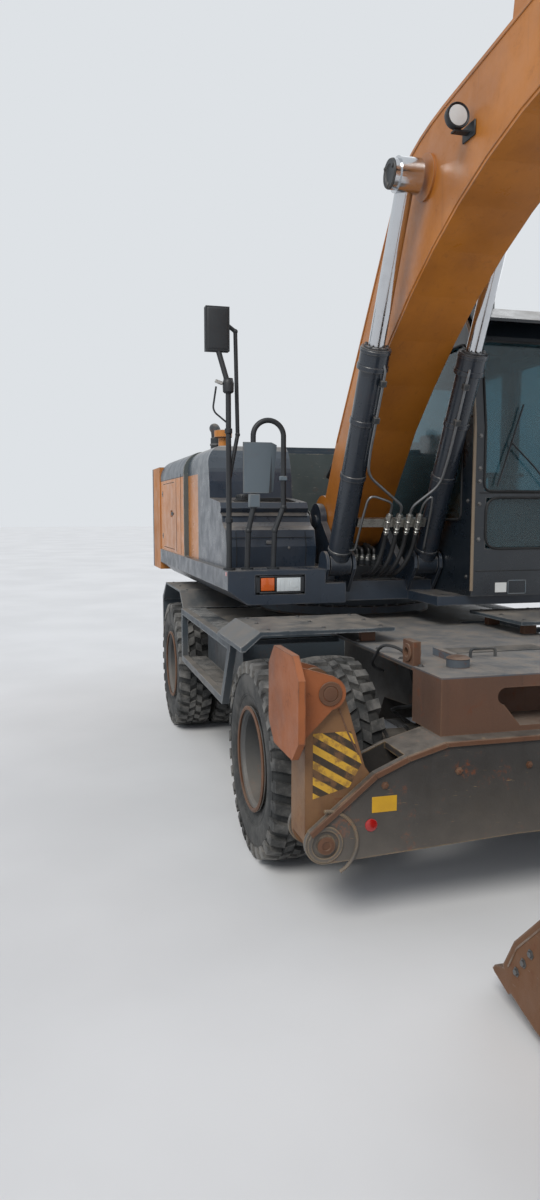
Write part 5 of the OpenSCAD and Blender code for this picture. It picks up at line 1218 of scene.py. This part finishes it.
for side, s in SIDES:
    front = LEG_X[1]
    Piece(f"leg_stripes_{side}", f"leg_{side}", "hazard").prism(
        [(s * 1.215, 0.62), (s * 1.215, 0.905), (s * 1.045, 0.905), (s * 0.995, 0.76), (s * 1.05, 0.66)],
        front - 0.0002, front + 0.0008, "yz").done(20)
    p = Piece(f"leg_pins_{side}", f"leg_{side}", "brown", "leg_orange")
    q = Piece(f"pad_fittings_{side}", f"pad_{side}", "brown", "pad_rust")
    for x, d in ((front, 1), (LEG_X[0], -1)):
        pin = (x + d * 0.029, s * FOOT_PIN[0], FOOT_PIN[1])
        p.turned([(0.028, 0), (0.031, 0.003), (0.031, 0.006), (0.018, 0.008)], pin, (d, 0, 0), 28)
        q.ring((x + d * 0.0305, pin[1], pin[2]), (d, 0, 0), 0.034, 0.052, 0.006, 30)
    p.tube([(front + 0.001, s * y, z) for y, z in ((1.1, 1.005), (1.06, 0.9), (1.01, 0.8))], 0.004, 6).done()
    q.done()
    a, b = Vector((2.849, s * 0.25, 0.6)), Vector((2.849, s * 0.955, 0.645))
    u = (b - a).normalized()
    Piece(f"leg_barrel_fittings_{side}", f"leg_barrel_{side}", "barrel").ring(
        b - u * 0.135, u, 0.046, 0.054, 0.03).ring(a + u * 0.12, u, 0.046, 0.053, 0.016).done()

# Wheels: lock rings, hub rings, valves
for name, x, s in WHEELS:
    hub = {"body": f"wheel_{name}", "slot": "rim_grey", "origin": (x, 0, AXLE_Z)}
    Piece(f"lock_rings_{name}", mat="brown", **hub).loop(
        [(0.262, 0), (0.276, 0.002), (0.28, 0.01), (0.268, 0.016), (0.258, 0.012)],
        (0, s * (OUTER_Y + 0.46 * TYRE_W - 0.006), 0), (0, s, 0), 56).done()
    Piece(f"hub_rings_{name}", mat="bolt", **hub).ring((0, s * 1.1455, 0), (0, s, 0), 0.082, 0.093, 0.007).turned(
        [(0.03, 0), (0.028, 0.008), (0, 0.01)], (0, s * 1.147, 0), (0, s, 0), 24).tube(
        [(0.205, s * 1.06, 0.1), (0.205, s * 1.13, 0.1), (0.19, s * 1.17, 0.095)], 0.006, 8, 0.02).done()

# Steered knuckles and axles
for side, s in SIDES:
    p = Piece(f"kingpin_caps_{side}", "undercarriage", "bolt", origin=(FRONT_X, s * 0.72, AXLE_Z))
    for d in (1, -1):
        p.turned([(0.052, 0), (0.054, 0.004), (0.05, 0.01), (0, 0.012)], (0, 0, d * 0.1705), (0, 0, d), 30)
        p.bolt_ring((0, 0, d * 0.1805), (0, 0, d), 0.036, 4, 0.006, 0.005)
    p.done()
p = Piece("axle_fittings", "undercarriage", "bolt", origin=(0, 0, AXLE_Z))
for x in (FRONT_X, REAR_X):
    for s in (-1, 1):
        p.bolt_ring((x, s * 0.19, 0), (0, s, 0), 0.16, 14, 0.01, 0.01)
        p.ring((x, s * 0.36, 0), (0, s, 0), 0.103, 0.118, 0.018)
        p.ring((x, s * 0.5, 0), (0, s, 0), 0.103, 0.118, 0.018)
p.done()
p = Piece("rear_frame_fittings", "undercarriage", "dark")
p.cyl((-1.652, 0, 0.98), (-1.72, 0, 0.98), 0.045, 28).ring((-1.72, 0, 0.98), (-1, 0, 0), 0.02, 0.06, 0.022, 32)
for s in (-1, 1):
    for z in (0.9, 1.04):
        p.bolt((-1.65, s * 0.3, z), (-1, 0, 0), 0.013, 0.011)
p.done()

# Bucket: tooth sockets, weld beads, ear rings, side cutter bolts
SOCKET = ((1.268, 0.09), (1.3, 0.128), (1.345, 0.118), (1.372, 0.082), (1.35, 0.03), (1.312, 0.024))
p = Piece("tooth_sockets", "bucket", "bucket")
for i in range(5):
    y = BOOM_Y - 0.525 + 0.24 * i
    p.prism([kp(*q) for q in SOCKET], y - 0.005, y + 0.095, bevel=0.004)
for s in (-1, 1):
    p.tube(path(kp, s * 0.5755, (0.16, 0.175), (0.5, 0.125), (1.15, 0.045), (1.26, 0.062)), 0.004, 6)
    for pin in (0, 0.45):
        p.ring(at(kp(0, pin), s * 0.196), (0, s, 0), 0.044, 0.07, 0.008, 32)
p.done()
p = Piece("bucket_bolts", "bucket", "bolt", "bucket_steel")
for s in (-1, 1):
    for q in (1.08, 1.15, 1.22):
        p.bolt(at(kp(q, 0.1), s * 0.575), (0, s, 0), 0.012, 0.01)
p.done()

# Camera, as it stood for the photograph: focal length in pixels of the 540x1200 frame
FOCAL_PX, FRAME_PX, SENSOR = 830, 1200, 36
cam = bpy.data.cameras.new("camera")
cam.sensor_fit = "VERTICAL"
cam.sensor_height = SENSOR
cam.lens = SENSOR * FOCAL_PX / FRAME_PX
cam.clip_end = 300
cam_ob = put("camera", cam)
psi, pitch = math.radians(15.1), math.radians(6.19)
look = Vector((-math.cos(psi) * math.cos(pitch), math.sin(psi) * math.cos(pitch), -math.sin(pitch)))
cam_ob.location = (6.2 - MID, -2.28, 1.843)
cam_ob.rotation_euler = look.to_track_quat("-Z", "Y").to_euler()
bpy.context.scene.camera = cam_ob

# Floor and light
bm = bmesh.new()
bmesh.ops.create_grid(bm, x_segments=1, y_segments=1, size=90)
g = Graph("floor_pale")
pale = g.mix(g.ramp(g.noise(0.6, 5, 0.5), 0.3, 0.7, 0, 1), srgb("cecfd0"), srgb("d6d7d8"))
g.feed(g.b, {"Base Color": pale, "Roughness": 0.9})
mesh_object("floor", bm, g.m)

world = bpy.data.worlds.new("world")
bpy.context.scene.world = world
sky = Nodes(world)
rays = sky.node("LightPath").outputs
seen = rays["Is Camera Ray"]
for kind in ("Is Glossy Ray", "Is Transmission Ray"):
    seen = sky.math("MAXIMUM", seen, rays[kind])
light = sky.node("Background", {0: (0.86, 0.91, 1.0, 1), 1: 0.62}).outputs[0]
shown = sky.node("Background", {0: srgb("dee2e6"), 1: 1.0}).outputs[0]
sky.node("OutputWorld", {0: sky.node("MixShader", {0: seen, 1: light, 2: shown}).outputs[0]})


def sun(name, strength, direction, angle, colour=(1, 1, 1)):
    d = bpy.data.lights.new(name, "SUN")
    d.energy, d.angle, d.color = strength, math.radians(angle), colour
    put(name, d).rotation_euler = Vector(direction).to_track_quat("-Z", "Y").to_euler()


sun("key", 2.0, (-0.55, 0.45, -0.75), 25, (1.0, 0.97, 0.92))
sun("fill", 0.5, (0.4, -0.8, -0.5), 60)

bpy.context.scene.view_settings.view_transform = "Standard"
